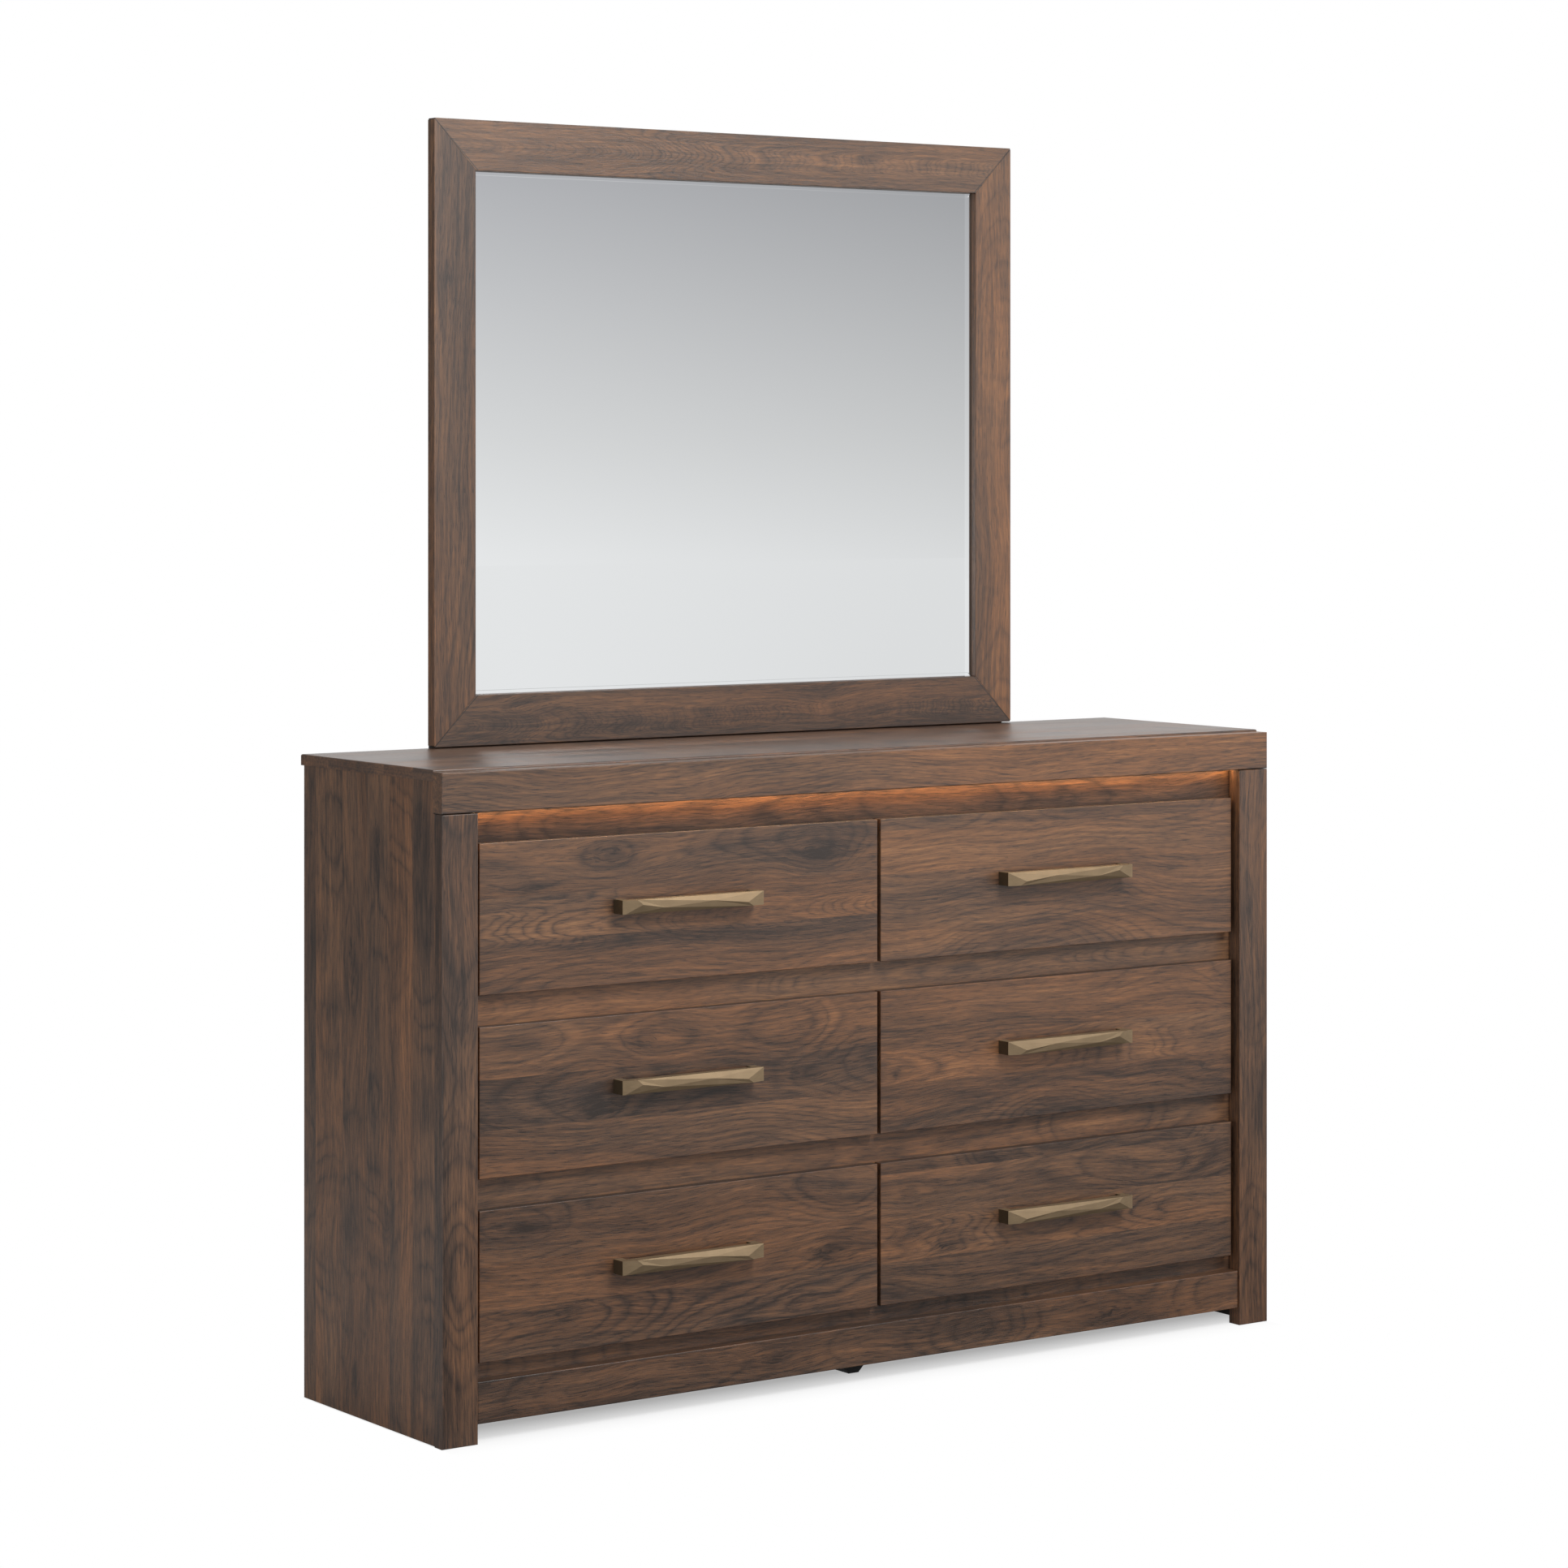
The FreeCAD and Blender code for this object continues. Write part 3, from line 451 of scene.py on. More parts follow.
BOARDS = {
    "top_left_front": ("XZY", [(617, 0.48, 600, 40, 0.12), (686, 0.59, 702, 30, 0.36),
                               (749, 0.50, 800, 55, 0.71)],
                       [(-465, 800, 60, 28, 0.7, 0.25), (-110, 785, 64, 32, 0.75, 0.36),
                        (-597, 762, 56, 16, 0.6, 0.28)],
                       [(-540, 701, 190, 32, 0.16, -8, -0.05), (-330, 672, 420, 13, 0, 1, 0.17)]),
    "middle_left_front": ("XZY", [(361, 0.51, 330, 35, 0.44), (427.5, 0.42, 470, 28, 0.52),
                                  (497.5, 0.58, 545, 55, 0.93)],
                          [(-490, 442, 50, 22, 0.6, 0.30), (-400, 530, 60, 24, 0.6, 0.12),
                           (-125, 462, 40, 18, 0.6, 0.2)],
                          [(-420, 535, 190, 36, 0, 1, 0.03), (-500, 455, 120, 22, 0, 1, 0.12)]),
    "bottom_left_front": ("XZY", [(105, 0.45, 120, 22, 0.27), (177.5, 0.57, 215, 35, 0.58),
                                  (242.5, 0.47, 300, 40, 0.81)],
                          [(-610, 287, 50, 16, 0.6, 0.28), (-90, 197, 50, 26, 0.7, 0.30),
                           (-140, 134, 44, 22, 0.5, 0.08)],
                          [(-300, 146, 270, 38, 0.07, 12, 0.06)]),
    "top_right_front": ("XZY", [(617, 0.60, 590, 45, 0.16), (742.5, 0.66, 850, 60, 0.66),
                                (807, 0.52, 830, 50, 0.91)],
                        [(472, 695, 46, 22, 0.6, 0.26)], [(120, 715, 160, 16, 0, 1, 0.10)]),
    "middle_right_front": ("XZY", [(361, 0.43, 340, 60, 0.18), (431.5, 0.59, 465, 30, 0.49),
                                   (495, 0.54, 590, 45, 0.73)],
                           [(32, 450, 30, 14, 0.6, 0.26), (690, 545, 50, 30, 0.6, 0.2)],
                           [(380, 455, 220, 34, 0.08, 9, 0), (200, 415, 400, 14, 0, 1, 0.14)]),
    "bottom_right_front": ("XZY", [(105, 0.49, 90, 40, 0.06), (170, 0.61, 200, 26, 0.33),
                                   (235, 0.54, 280, 35, 0.62), (300, 0.50, 330, 50, 0.88)],
                           [(55, 270, 44, 18, 0.6, 0.28), (130, 188, 60, 20, 0.6, 0.24)],
                           [(500, 200, 240, 36, 0.08, -9, 0), (140, 205, 130, 24, 0, 1, 0.12)]),
    "left_side_panel": ("ZYX", [(-200, 0.36, -150, 40, 0.67), (-118, 0.46, -60, 30, 0.53),
                                (-54.5, 0.49, -20, 24, 0.41), (10.5, 0.46, 48, 30, 0.37),
                                (79.5, 0.51, 110, 24, 0.23), (159.5, 0.43, 220, 30, 0.11)],
                        [(795, -17.5, 70, 24, 0.7, 0.34), (645, 50.5, 70, 24, 0.7, 0.30),
                         (432, -9.5, 60, 20, 0.6, 0.28), (290, -44.5, 50, 16, 0.6, 0.26),
                         (55, 45.5, 50, 20, 0.6, 0.26)]),
    "right_side_panel": ("ZYX", [(-200, 0.46, -150, 20, 0.17), (-110, 0.50, -60, 30, 0.83),
                                 (-30, 0.44, -20, 24, 0.59), (60, 0.48, 110, 20, 0.29),
                                 (140, 0.42, 220, 30, 0.71)],
                         [(610, 20, 70, 24, 0.7, 0.30), (250, -80, 50, 16, 0.6, 0.26)]),
    # The stiles' long arches only change the tone: the left stile is darker at its top and lighter low down,
    # and the right stile is lighter at its top.
    "left_stile": ("ZXY", [(-750, 0.35, -720, 40, 0.31)], [(600, -720, 80, 24, 0.6, 0.26)],
                   [(850, -720, 160, 90, 0, 1, 0.12), (150, -720, 260, 90, 0, 1, -0.14)]),
    "right_stile": ("ZXY", [(690, 0.50, 720, 40, 0.77)], [(655, 712, 60, 16, 0.6, 0.30)],
                    [(860, 712, 200, 90, 0, 1, -0.11)]),
    "top_panel": ("XYZ", [(-200, 0.44, -150, 30, 0.15), (-120, 0.48, -60, 24, 0.35),
                          (-40, 0.43, 10, 30, 0.55), (40, 0.47, 90, 20, 0.75),
                          (120, 0.43, 160, 30, 0.95)],
                  [(-420, -60, 60, 24, 0.6, 0.28), (330, 40, 60, 24, 0.6, 0.28)]),
    # The fascia's fine dark line along its lower edge is painted shade, where the edge turns away from the
    # light.
    "fascia": ("XZY", [(868, 0.62, 760, 60, 0.19)], [(260, 890, 90, 18, 0.4, 0.05)],
               [(0, 868, 5000, 1.6, 0, 1, 0.5)]),
    # On the light rail, the broad dark band along its lower edge and the fine dark line just under the fascia
    # are painted shade, where the lamp's light falls off and the fascia shades the rail.
    "light_rail": ("XZY", [(820, 0.56, 845, 24, 0.63)], [],
                   [(0, 820, 5000, 18, 0, 1, 0.46), (0, 867, 5000, 4, 0, 1, 0.16),
                    (-590, 852, 64, 18, 0, 1, 0.14), (-590, 853, 38, 10, 0, 1, -0.18),
                    (-537, 846, 18, 12, 0, 1, 0.16), (-486, 850, 24, 14, 0, 1, 0.14),
                    (-415, 850, 16, 18, 0, 1, 0.12), (-303, 848, 22, 15, 0, 1, 0.18),
                    (-250, 852, 24, 14, 0, 1, -0.06), (-197, 844, 20, 13, 0, 1, 0.26),
                    (-100, 846, 34, 8, 0, 1, 0.09), (290, 840, 70, 6, 0, 1, 0.09),
                    (353, 846, 12, 14, 0, 1, 0.15), (500, 848, 22, 8, 0, 1, 0.11),
                    (640, 850, 44, 14, 0, 1, 0.12)]),
    "mid_rails": ("XZY", [(315, 0.54, 340, 24, 0.29), (500, 0.66, 594, 30, 0.49)],
                  [(-325, 597, 40, 12, 0.5, 0.22)],
                  [(-500, 594, 150, 20, 0.06, 8, 0), (280, 594, 160, 20, 0, 1, 0.05)]),
    "bottom_rail": ("XZY", [(80, 0.48, 95, 30, 0.83)]),
    # The base rail's two long arches make it darker to the left and lighter to the right.
    "base_rail": ("XZY", [(30, 0.40, 55, 30, 0.47)],
                  [(-190, 58, 60, 22, 0.6, 0.26), (440, 50, 60, 22, 0.6, 0.2)],
                  [(-480, 55, 300, 80, 0, 1, 0.08), (400, 55, 400, 80, 0, 1, -0.08)]),
    "mirror_cross_rails": ("XZY", [(930, 0.37, 965, 24, 0.21), (1200, 0.50, 1820, 24, 0.69)],
                           [(-380, 990, 60, 30, 0.5, 0.16), (170, 1000, 60, 34, 0.6, 0.16),
                            (250, 1830, 30, 12, 0.5, 0.2)],
                           [(-100, 1820, 180, 26, 0.3, 8, 0), (-420, 960, 80, 30, 0.4, 8, 0.06)]),
    # A fine lighter line runs along the outer edge of the left side rail of the mirror's frame.
    "mirror_side_rails": ("ZXY", [(-540, 0.43, -560, 30, 0.35), (0, 0.66, 520, 30, 0.79)],
                          [(1620, -515, 50, 18, 0.6, 0.28)], [(1400, -538.5, 5000, 2, 0, 1, -0.15)]),
}


def shades(color, reach, dark, light):
    """A ramp's stops, a reach to either side of its middle, from a darker to a lighter shade of a colour."""
    return [(0.5 + side * reach, [min(1, channel * share) for channel in color])
            for side, share in ((-1, dark), (1, light))]


def plain_wood(name, color, roughness=0.6):
    """A plain printed board with a faint grain."""
    material, g, shader = new_material(name)
    place = g.object_place()
    grain = g.grain(place, *NOISES["board"])
    mottle = g.noise(place, 9)
    tone = g.math("ADD", g.math("MULTIPLY", grain, 0.7), g.math("MULTIPLY", mottle, 0.3))
    g.fill(shader, {"Base Color": g.ramp(tone, shades(color, 0.2, 0.72, 1.22))["Color"],
                    "Roughness": g.math("ADD", g.swing(grain, 0.2), roughness),
                    "Normal": g.bump(grain, 0.2 * MM, 0.3)})
    return material


def metal(name, color, roughness, brushing, wear, metallic=1.0, painted_end_shade=1.0):
    """Brushed or plated metal with a faint directional grain, cloudy patina and end faces darkened with
    painted shade.

    The brushing is given by its scales per metre along and across, and the painted shade of the end faces by
    the share of the brightness that they keep."""
    material, g, shader = new_material(name)
    place = g.object_place()
    lines = g.grain(place, *brushing, detail=3, roughness=0.6)
    cloud = g.noise(place, 45, 3)
    tone = g.math("ADD", g.math("MULTIPLY", lines, 0.5), g.math("MULTIPLY", cloud, 0.5))
    worn = g.ramp(tone, shades(color, 0.15, 1 - wear, 1 + wear))["Color"]
    # End faces, turned along X, get painted shade.
    if painted_end_shade < 1:
        worn = g.mix(g.facing("X", either_way=True), worn, [channel * painted_end_shade for channel in color])
    g.fill(shader, {"Base Color": worn, "Roughness": g.math("ADD", g.swing(lines, 0.16), roughness),
                    "Normal": g.bump(lines, 0.05 * MM, 0.4), "Metallic": metallic})
    return material


def plastic(name, color, roughness=0.45):
    """Moulded plastic with a fine spark-eroded grain."""
    material, g, shader = new_material(name)
    place = g.object_place()
    grain = g.noise(place, 900)
    cloud = g.noise(place, 30)
    g.fill(shader, {"Base Color": g.ramp(cloud, shades(color, 0.2, 0.85, 1.15))["Color"],
                    "Roughness": g.math("ADD", g.swing(grain, 0.2), roughness),
                    "Normal": g.bump(grain, 0.08 * MM, 0.4)})
    return material


BEVEL = 12
RIGHT_BEVEL_LINE = 456
LEFT_BEVEL_LINE = -461
RIGHT_TILT = -0.31
LEFT_TILT = 0.195
LEVEL_TILT = 0.075


def silvered_glass(color):
    """Mirror glass whose bevels turn the reflection aside at its four edges."""
    material, g, shader = new_material("silvered_glass")
    axes = g.split(g.object_place())
    low, high = (corner[2] for corner in corners("mirror_glass"))

    def past(axis, side, start, tilt):
        """A tilt where the glass is past a place towards one side."""
        beyond = g.math("MULTIPLY_ADD", axes[axis], side / MM, -side * start, clamp=True)
        return g.math("MULTIPLY", beyond, tilt)

    aside = g.math("ADD", past("X", 1, RIGHT_BEVEL_LINE, RIGHT_TILT),
                   past("X", -1, LEFT_BEVEL_LINE, LEFT_TILT))
    upward = g.math("ADD", past("Z", 1, high - BEVEL, -LEVEL_TILT),
                    past("Z", -1, low + BEVEL, LEVEL_TILT))
    normal = g.node("ShaderNodeNewGeometry").outputs["Normal"]
    turned = g.vector("ADD", normal, g.combine(aside, 0, upward))
    g.fill(shader, {"Base Color": color, "Metallic": 1.0, "Normal": g.vector("NORMALIZE", turned),
                    "Roughness": g.math("MULTIPLY", g.noise(g.object_place(), 3, 1), 0.02)})
    return material


def lit_diffuser(look):
    """The diffuser of the lamp, which gives the light."""
    material, g, shader = new_material("lamp_diffuser")
    ripple = g.noise(g.object_place(), 120, 1)
    g.fill(shader, {"Base Color": look.diffuser, "Roughness": g.math("ADD", g.swing(ripple, 0.1), 0.4),
                    "Emission Color": look.glow, "Emission Strength": look.strength})
    return material


def finish(material, *nodes):
    """Puts a material on every slot of some CAD nodes."""
    for node in nodes:
        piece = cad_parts[node]
        if not piece.material_slots:
            piece.data.materials.append(material)
        for place in piece.material_slots:
            place.material = material


class DRESSER_OT_walnut(Operator):
    """Finish every walnut board with its own staves and knots"""
    bl_idname = "dresser.walnut"
    bl_label = "Walnut boards"

    def execute(self, context):
        group = figure_group(context.scene.dresser_walnut)
        for node, board in BOARDS.items():
            finish(walnut(node, group, *board), node)
        return {"FINISHED"}


class DRESSER_OT_handles(Operator):
    """Finish the bar handles in antiqued brass"""
    bl_idname = "dresser.handles"
    bl_label = "Handles"

    def execute(self, context):
        look = context.scene.dresser_fittings
        # The handles' end faces keep 0.35 of their brightness as painted shade.
        brass = metal("antique_brass", look.brass, 0.58, (6, 500), 0.10, metallic=0.8, painted_end_shade=0.35)
        finish(brass, *[drawer + "_handle" for drawer in DRAWERS])
        return {"FINISHED"}


class DRESSER_OT_mirror(Operator):
    """Finish the mirror's glass, backing and uprights, and the stained boards inside the base"""
    bl_idname = "dresser.mirror"
    bl_label = "Mirror"

    def execute(self, context):
        look = context.scene.dresser_fittings
        finish(silvered_glass(look.mirror), "mirror_glass")
        finish(plain_wood("mirror_inner_frame", look.inner_frame), "mirror_backing")
        finish(plain_wood("dark_stained_board", look.dark_board), "mirror_supports", "inner_frame")
        return {"FINISHED"}


class DRESSER_OT_lamp(Operator):
    """Finish the light strip with its lead and inlet, and the black feet"""
    bl_idname = "dresser.lamp"
    bl_label = "Light strip and feet"

    def execute(self, context):
        look = context.scene.dresser_lamp
        black = context.scene.dresser_fittings.black
        finish(metal("lamp_aluminium", look.channel, 0.4, (3, 400), 0.05), "light_channel")
        finish(plastic("lamp_board", look.board), "light_strip")
        finish(lit_diffuser(look), "light_diffuser")
        finish(plastic("black_plastic", black), "power_inlet", "light_lead", "floor_glides", "center_foot")
        return {"FINISHED"}


class DRESSER_OT_inside(Operator):
    """Finish the drawer boxes, slides, inner boards, back and brackets"""
    bl_idname = "dresser.inside"
    bl_label = "Inside and back"

    def execute(self, context):
        look = context.scene.dresser_fittings
        box = plain_wood("drawer_laminate", look.drawer_board, 0.5)
        steel = metal("zinc_plate", look.steel, 0.34, (5, 300), 0.06)
        board = plain_wood("plain_laminate", look.plain_board)
        for drawer in DRAWERS:
            finish(box, drawer + "_box")
            finish(steel, drawer + "_drawer_slides", drawer + "_middle_slides")
        finish(steel, "cabinet_slides", "support_bolts", "tip_brackets")
        finish(board, "bottom_panel", "center_partition", "slide_cleats")
        finish(plain_wood("back_board", look.back_board, 0.7), "back_panel")
        return {"FINISHED"}


HEAD_RADIUS = 3.6
HEAD_HEIGHT = 1.8
BACK_SCREW_PITCH = 160
BACK_SCREWS_A_SIDE = 5
BACK_ROW_HEIGHTS = (898, 36)
BACK_COLUMNS = (-738, 0, 738)
BACK_COLUMN_HEIGHTS = (180, 325, 470, 615, 760)
CLIP_SIZE = (11, 34, 1.2)
CLIP_PITCH = 330
CLIP_SCREW_OFFSET = 8
SLIDE_SCREW_SHARES = (0.08, 0.42, 0.9)
SLIDE_WEB = 1.2
SUB_FRONT = 12
FRONT_SCREW_ASIDE = 240
FRONT_SCREW_HEIGHTS = (40, 110)
PAD_RADIUS = 5
PAD_HEIGHT = 0.6
PAD_FROM_BOX_SIDE = 30
PAD_FROM_FRONT_EDGE = 6.5
QUARTER = math.pi / 2
TO_BACK = (-QUARTER, 0, 0)


def select_only(*pieces):
    """Makes these the selected objects, with the last one active."""
    bpy.ops.object.select_all(action="DESELECT")
    for piece in pieces:
        piece.select_set(True)
    bpy.context.view_layer.objects.active = pieces[-1]


def delete(piece):
    select_only(piece)
    bpy.ops.object.delete()


def keep_modifier(piece, kind, **settings):
    """Adds a modifier and applies it."""
    select_only(piece)
    modifier = piece.modifiers.new(kind.lower(), kind)
    for name, value in settings.items():
        setattr(modifier, name, value)
    bpy.ops.object.modifier_apply(modifier=modifier.name)


def rounded_disc(radius, height, bevel, vertices, segments):
    """A disc on the origin with rounded edges."""
    bpy.ops.mesh.primitive_cylinder_add(vertices=vertices, radius=radius, depth=height,
                                        location=(0, 0, height / 2))
    disc = bpy.context.object
    bpy.ops.object.transform_apply()
    keep_modifier(disc, "BEVEL", width=bevel, segments=segments, limit_method="ANGLE")
    return disc


def pan_head():
    """A screw's pan head with a cross recess, seated on the origin and facing up."""
    radius, height = HEAD_RADIUS * MM, HEAD_HEIGHT * MM
    head = rounded_disc(radius, height, bevel=height * 0.45, vertices=28, segments=3)
    recess = (radius * 1.2, radius * 0.24, height)
    for turn in (0, math.pi / 2):
        bpy.ops.mesh.primitive_cube_add(size=1, location=(0, 0, height), rotation=(0, 0, turn), scale=recess)
        cutter = bpy.context.object
        keep_modifier(head, "BOOLEAN", object=cutter, operation="DIFFERENCE", solver="EXACT")
        delete(cutter)
    return head


def sheet_clip():
    """A small steel plate that holds the sheet behind the glass, seated on the origin."""
    length, width, thickness = (size * MM for size in CLIP_SIZE)
    bpy.ops.mesh.primitive_cube_add(size=1, location=(0, 0, thickness / 2), scale=(length, width, thickness))
    clip = bpy.context.object
    bpy.ops.object.transform_apply()
    keep_modifier(clip, "BEVEL", width=0.4 * MM, segments=2)
    return clip


def copies(pattern, name, places, turn):
    """Copies of a small pattern at each place, turned the same way and joined into one piece."""
    made = []
    for place in places:
        select_only(pattern)
        bpy.ops.object.duplicate(linked=False)
        copy = bpy.context.object
        copy.rotation_euler = turn
        copy.location = [size * MM for size in place]
        bpy.ops.object.transform_apply(location=True, rotation=True, scale=True)
        made.append(copy)
    select_only(*made)
    bpy.ops.object.join()
    piece = bpy.context.object
    piece.name = name
    return piece


def settle(piece, body, material):
    """Ties a new piece to the body it moves with and gives it its material."""
    piece.data.materials.clear()
    piece.data.materials.append(material)
    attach(piece, body)


class DRESSER_OT_fasteners(Operator):
    """Add the screws of the slides, fronts and back, the clips behind the mirror and the drawers' pads"""
    bl_idname = "dresser.fasteners"
    bl_label = "Fasteners and pads"

    def execute(self, context):
        look = context.scene.dresser_fittings
        steel = metal("screw_steel", look.steel, 0.3, (5, 300), 0.06)
        rubber = plastic("rubber_pad", look.black, 0.7)
        head = pan_head()
        for drawer in DRAWERS:
            self.add_slide_screws(drawer, head, steel)
            self.add_front_screws(drawer, head, steel)
            self.add_pads(drawer, rubber)
        self.add_back_screws(head, steel)
        self.add_mirror_clips(head, steel)
        delete(head)
        return {"FINISHED"}

    def add_back_screws(self, head, steel):
        back_y = corners("back_panel")[1][1]
        steps = range(BACK_SCREWS_A_SIDE)
        row = [side * BACK_SCREW_PITCH * (step + 0.5) for side in (-1, 1) for step in steps]
        places = [(x, back_y, z) for z in BACK_ROW_HEIGHTS for x in row]
        places += [(x, back_y, z) for x in BACK_COLUMNS for z in BACK_COLUMN_HEIGHTS]
        settle(copies(head, "back_panel_screws", places, TO_BACK), "carcass", steel)

    def add_mirror_clips(self, head, steel):
        """The clips lie over the lower and upper edge of the glass, and each screw beside them."""
        sheet_y = corners("mirror_backing")[1][1]
        low, high = (corner[2] for corner in corners("mirror_glass"))
        clip = sheet_clip()
        across = (-CLIP_PITCH, 0, CLIP_PITCH)
        places = [(x, sheet_y, z) for x in across for z in (low, high)]
        settle(copies(clip, "mirror_sheet_clips", places, TO_BACK), "carcass", steel)
        delete(clip)
        screw_y = sheet_y + CLIP_SIZE[2]
        heights = (low - CLIP_SCREW_OFFSET, high + CLIP_SCREW_OFFSET)
        places = [(x, screw_y, z) for x in across for z in heights]
        settle(copies(head, "mirror_clip_screws", places, TO_BACK), "carcass", steel)

    def add_slide_screws(self, drawer, head, steel):
        box_low, box_high = corners(drawer + "_box")
        slide_low, slide_high = corners(drawer + "_drawer_slides")
        height = (slide_low[2] + slide_high[2]) / 2
        along = [slide_low[1] + (slide_high[1] - slide_low[1]) * share for share in SLIDE_SCREW_SHARES]
        sides = (("left", box_low[0] - SLIDE_WEB, -QUARTER), ("right", box_high[0] + SLIDE_WEB, QUARTER))
        for side, x, turn in sides:
            places = [(x, y, height) for y in along]
            piece = copies(head, "%s_%s_slide_screws" % (drawer, side), places, (0, turn, 0))
            settle(piece, drawer + "_drawer", steel)

    def add_front_screws(self, drawer, head, steel):
        low, high = corners(drawer + "_box")
        middle = (low[0] + high[0]) / 2
        places = [(middle + aside, low[1] + SUB_FRONT, low[2] + up)
                  for aside in (-FRONT_SCREW_ASIDE, FRONT_SCREW_ASIDE) for up in FRONT_SCREW_HEIGHTS]
        piece = copies(head, drawer + "_front_screws", places, TO_BACK)
        settle(piece, drawer + "_drawer", steel)

    def add_pads(self, drawer, rubber):
        box_low, box_high = corners(drawer + "_box")
        front_low, front_high = corners(drawer + "_front")
        pad = rounded_disc(PAD_RADIUS * MM, PAD_HEIGHT * MM, bevel=0.25 * MM, vertices=32, segments=2)
        across = (box_low[0] + PAD_FROM_BOX_SIDE, box_high[0] - PAD_FROM_BOX_SIDE)
        heights = (front_low[2] + PAD_FROM_FRONT_EDGE, front_high[2] - PAD_FROM_FRONT_EDGE)
        places = [(x, front_high[1], z) for x in across for z in heights]
        piece = copies(pad, drawer + "_pads", places, TO_BACK)
        settle(piece, drawer + "_drawer", rubber)
        delete(pad)


FLOOR_SIZE = 80
LIGHT_SIZE = 1.6
KEY_PLACE = (0.6, -3.0, 3.6)
KEY_TARGET = (0, 0, 0.7)
FILL_PLACE = (-3.8, -1.0, 0.7)
FILL_TARGET = (-0.75, 0.2, 0.1)
CAMERA_PLACE = (-3.675558, -5.172502, 1.356333)
CAMERA_YAW = 35.112
CAMERA_SHIFT = -0.20757
SENSOR_WIDTH = 36


class DRESSER_OT_stage(Operator):
    """Add the floor, the lights, the world and the camera"""
    bl_idname = "dresser.stage"
    bl_label = "Studio"

    def execute(self, context):
        look = context.scene.dresser_studio
        bpy.ops.mesh.primitive_plane_add(size=FLOOR_SIZE)
        floor = context.object
        floor.name = "studio_floor"
        floor.data.materials.append(floor_material(look))
        add_light("key_light", KEY_PLACE, KEY_TARGET, look.key)
        add_light("fill_light", FILL_PLACE, FILL_TARGET, look.fill)
        context.scene.world = studio_world(look)
        add_camera(context, look)
        return {"FINISHED"}


SHADOW_EDGES = (("Y", -1, 0.11, 0.13), ("X", -1, 0.742, 0.01), ("X", 1, 0.742, 0.01), ("Y", 1, 0.15, 0.05))
REFLECTED_RANGE = 20
FAR_FLOOR = [(0.12, 0.10), (0.48, 0.87)]
FLOOR_FALL = [(0.5145, 1.03), (0.6107, 0.955)]


def floor_material(look):
    """A floor that keeps the shadow near the dresser and is plain white to the camera farther out.

    An edge of the kept shadow is (axis, side, where it starts to fade, over how far it fades). In
    reflections the floor's grey follows the distance, as a share of the reflected range in metres. It falls
    off to the right and is dark at the left."""
    material, g, shader = new_material("studio_floor")
    g.fill(shader, {"Base Color": 0.6, "Roughness": 1.0, "Specular IOR Level": 0.0})
    place = g.object_place()
    axes = g.split(place)
    edges = [g.math("MULTIPLY_ADD", axes[axis], side / fade, -start / fade)
             for axis, side, start, fade in SHADOW_EDGES]
    outside = edges[0]
    for edge in edges[1:]:
        outside = g.math("MAXIMUM", outside, edge)
    outside = g.math("SMOOTH_MIN", outside, 1.0, 0.2, clamp=True)

    distance = g.node("ShaderNodeVectorMath", {0: place}, operation="LENGTH").outputs["Value"]
    share = g.math("DIVIDE", distance, REFLECTED_RANGE)
    fall = g.ramp(g.math("DIVIDE", axes["X"], distance), FLOOR_FALL)["Color"]
    far = g.mix(1, g.ramp(share, FAR_FLOOR)["Color"], fall, "MULTIPLY")
    left = g.math("MULTIPLY_ADD", axes["X"], -2, -1.2, clamp=True)
    reflection = g.mix(left, far, g.ramp(share, [(0.08, 0.4), (0.25, look.room)])["Color"])

    def glow(color, strength):
        return g.node("ShaderNodeEmission", {"Color": color, "Strength": strength}).outputs[0]

    camera_ray, reflected = g.rays()
    near = g.shader("ShaderNodeAddShader", shader.outputs[0], glow(1, look.floor_glow))
    seen = g.shader("ShaderNodeMixShader", outside, near, glow(1, 1.0))
    unseen = g.shader("ShaderNodeMixShader", reflected, shader.outputs[0], glow(reflection, 1.0))
    output = next(node for node in material.node_tree.nodes if node.type == "OUTPUT_MATERIAL")
    g.put(output.inputs["Surface"], g.shader("ShaderNodeMixShader", camera_ray, unseen, seen))
    return material


def add_light(name, place, target, power):
    """A soft square light that faces a point."""
    turn = (Vector(target) - Vector(place)).to_track_quat("-Z", "Y").to_euler()
    bpy.ops.object.light_add(type="AREA", location=place, rotation=turn)
    light = bpy.context.object
    light.name = name
    light.data.size = LIGHT_SIZE
    light.data.energy = power


SKY = [(0.435, 0.88), (0.47, 0.866), (0.505, 0.725), (0.60, (0.40, 0.40, 0.42)), (0.68, 0.6), (0.80, 0.9),
       (0.88, 0.6), (0.98, 0.3)]
SKY_FALL = [(0.38, 1), (0.49, 1.131), (0.64, 0.85), (0.75, 1)]
MIRROR_MIDDLE = 0.5626
BACK_RIGHT = (0.575, 0.818, 0)
RIGHT = (0.94, -0.342, 0)
LEFT = (-0.818, 0.575, 0)


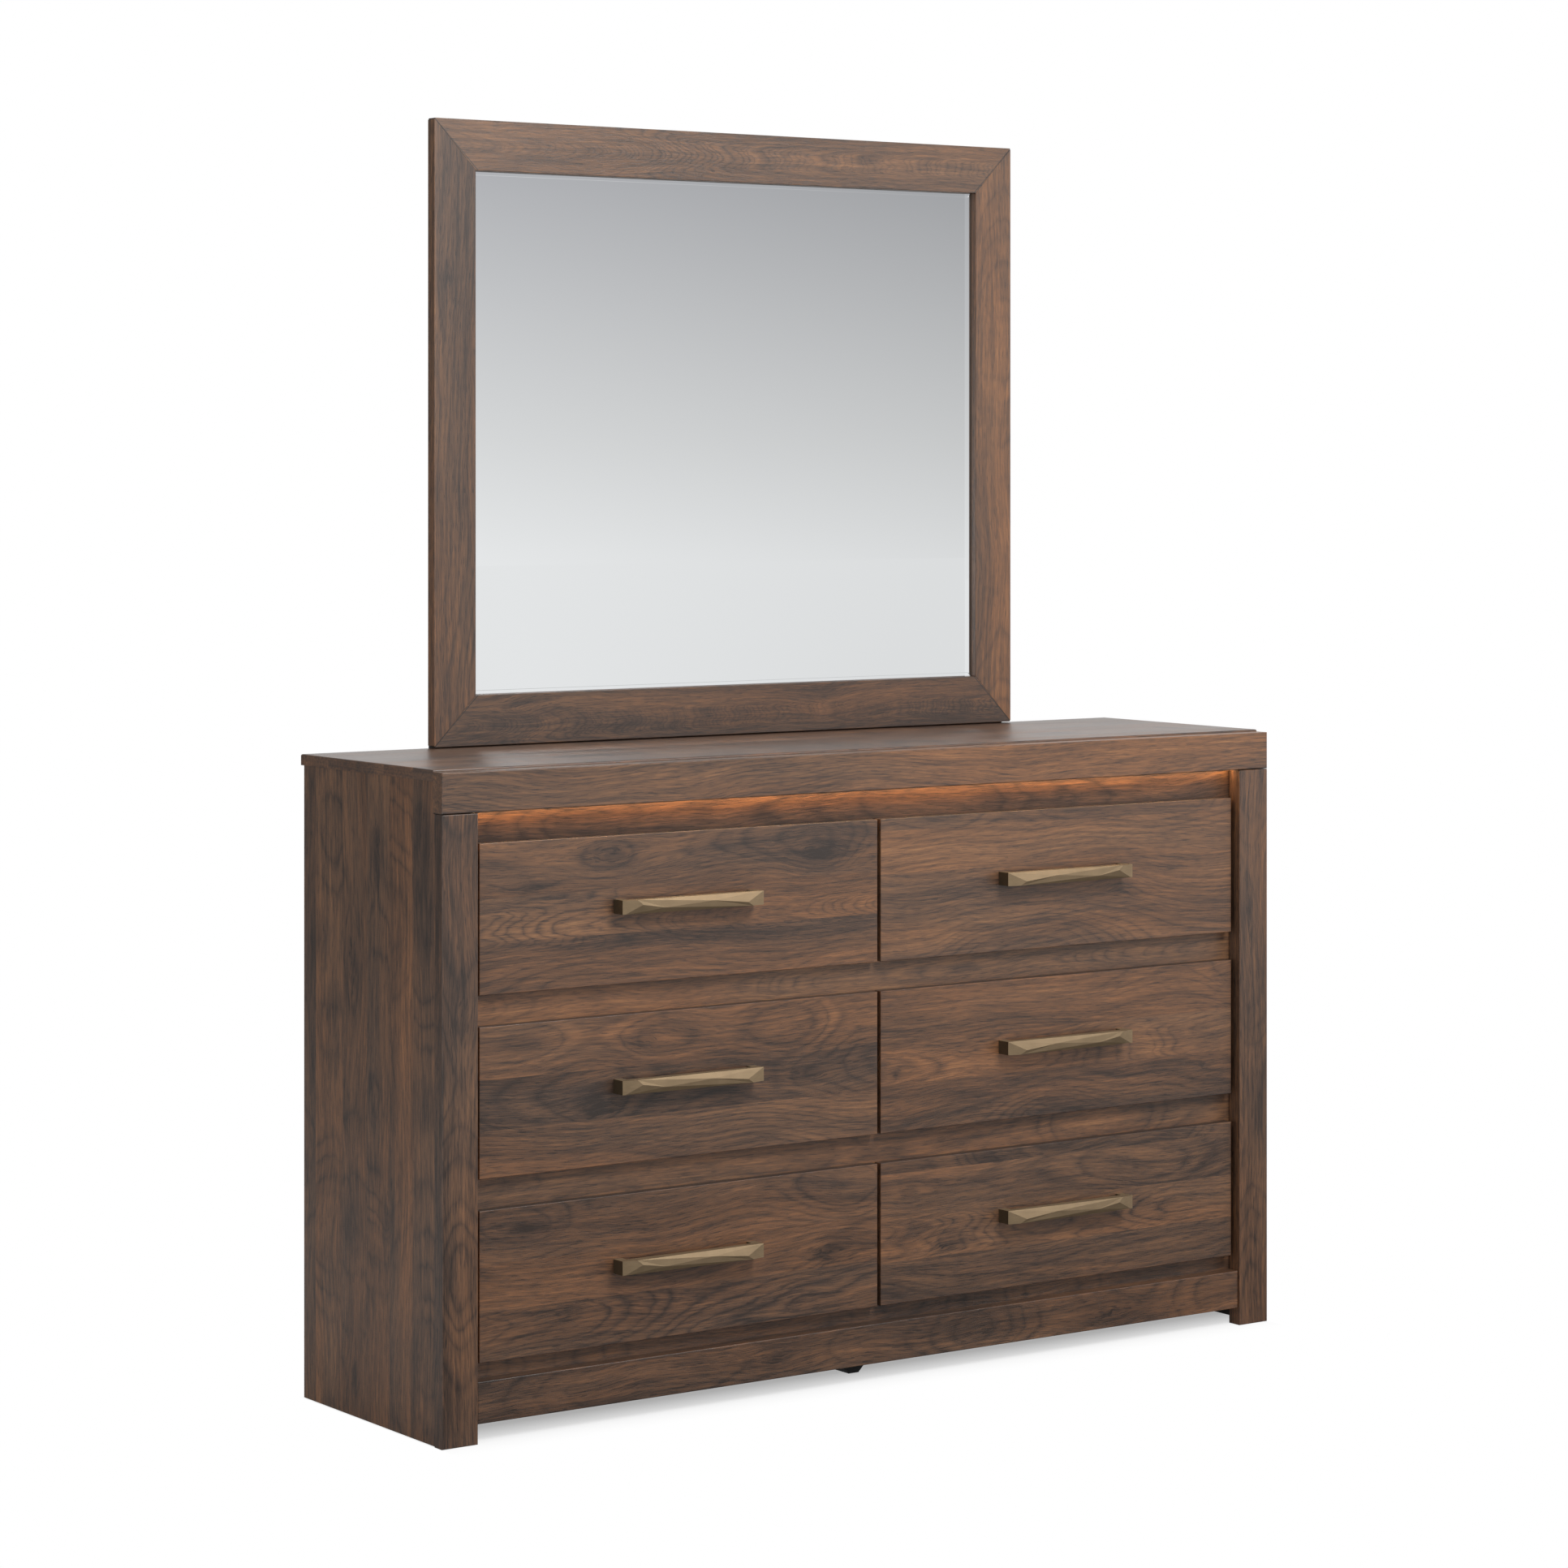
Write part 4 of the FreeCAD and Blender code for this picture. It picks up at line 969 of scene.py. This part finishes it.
def studio_world(look):
    """Even light, white to the camera, and a soft grey sky over a bright floor in reflections.

    The sky's greys follow the height of a ray. They fall off to the right about the middle of the mirror's
    reflection, and more so higher up. Panels at the right and the room at the left lie over them."""
    world = bpy.data.worlds.new("studio_world")
    world.use_nodes = True
    world.node_tree.nodes.clear()
    g = Graph(world.node_tree)
    direction = g.node("ShaderNodeTexCoord").outputs["Generated"]
    axes = g.split(direction)
    sky = g.ramp(g.math("MULTIPLY_ADD", axes["Z"], 1.25, 0.5), SKY)["Color"]
    spread = g.math("MULTIPLY", g.math("MULTIPLY_ADD", axes["Z"], 3.7, 0.424, clamp=True), 2)
    turned = g.math("MULTIPLY_ADD", g.math("SUBTRACT", axes["X"], MIRROR_MIDDLE), spread, MIRROR_MIDDLE)
    sky = g.mix(1, sky, g.ramp(turned, SKY_FALL)["Color"], "MULTIPLY")
    for side, low, high, grey in ((BACK_RIGHT, 0.45, 0.75, 1), (RIGHT, 0.87, 0.93, 2.0),
                                  (LEFT, 0.15, 0.55, look.room)):
        inputs = {0: direction, 1: side}
        share = g.node("ShaderNodeVectorMath", inputs, operation="DOT_PRODUCT").outputs["Value"]
        sky = g.mix(g.ramp(share, [(low, 0), (high, 1)])["Color"], sky, grey)

    def light(color, strength):
        return g.node("ShaderNodeBackground", {"Color": color, "Strength": strength}).outputs[0]

    camera_ray, reflected = g.rays()
    unseen = g.shader("ShaderNodeMixShader", reflected, light(1, look.world), light(sky, 1.0))
    seen = g.shader("ShaderNodeMixShader", camera_ray, unseen, light(1, 1.0))
    g.node("ShaderNodeOutputWorld", {"Surface": seen})
    return world


def add_camera(context, look):
    """The photograph's view: level, turned to the right, and shifted down."""
    turn = (QUARTER, 0, -math.radians(CAMERA_YAW))
    bpy.ops.object.camera_add(location=CAMERA_PLACE, rotation=turn)
    camera = context.object
    camera.name = "photo_camera"
    camera.data.lens = look.focal_length
    camera.data.sensor_width = SENSOR_WIDTH
    camera.data.shift_y = CAMERA_SHIFT
    camera.data.clip_end = 100
    context.scene.camera = camera
    context.scene.view_settings.view_transform = "Standard"


class DRESSER_PT_panel(Panel):
    """Lists the steps in the 3D view's sidebar"""
    bl_idname = "DRESSER_PT_panel"
    bl_label = "Dresser"
    bl_space_type = "VIEW_3D"
    bl_region_type = "UI"
    bl_category = "Dresser"

    def draw(self, context):
        for step in STEPS:
            self.layout.operator(step.bl_idname)


STEPS = (DRESSER_OT_walnut, DRESSER_OT_handles, DRESSER_OT_mirror, DRESSER_OT_lamp, DRESSER_OT_inside,
         DRESSER_OT_fasteners, DRESSER_OT_stage)
GROUPS = (("dresser_walnut", WalnutSettings), ("dresser_fittings", FittingSettings),
          ("dresser_lamp", LampSettings), ("dresser_studio", StudioSettings))


def register():
    for name, settings in GROUPS:
        bpy.utils.register_class(settings)
        setattr(bpy.types.Scene, name, PointerProperty(type=settings))
    for item in STEPS + (DRESSER_PT_panel,):
        bpy.utils.register_class(item)


def unregister():
    for item in reversed(STEPS + (DRESSER_PT_panel,)):
        bpy.utils.unregister_class(item)
    for name, settings in reversed(GROUPS):
        delattr(bpy.types.Scene, name)
        bpy.utils.unregister_class(settings)


def main():
    register()
    for step in STEPS:
        area, name = step.bl_idname.split(".")
        getattr(getattr(bpy.ops, area), name)()


if __name__ == "__main__":
    main()
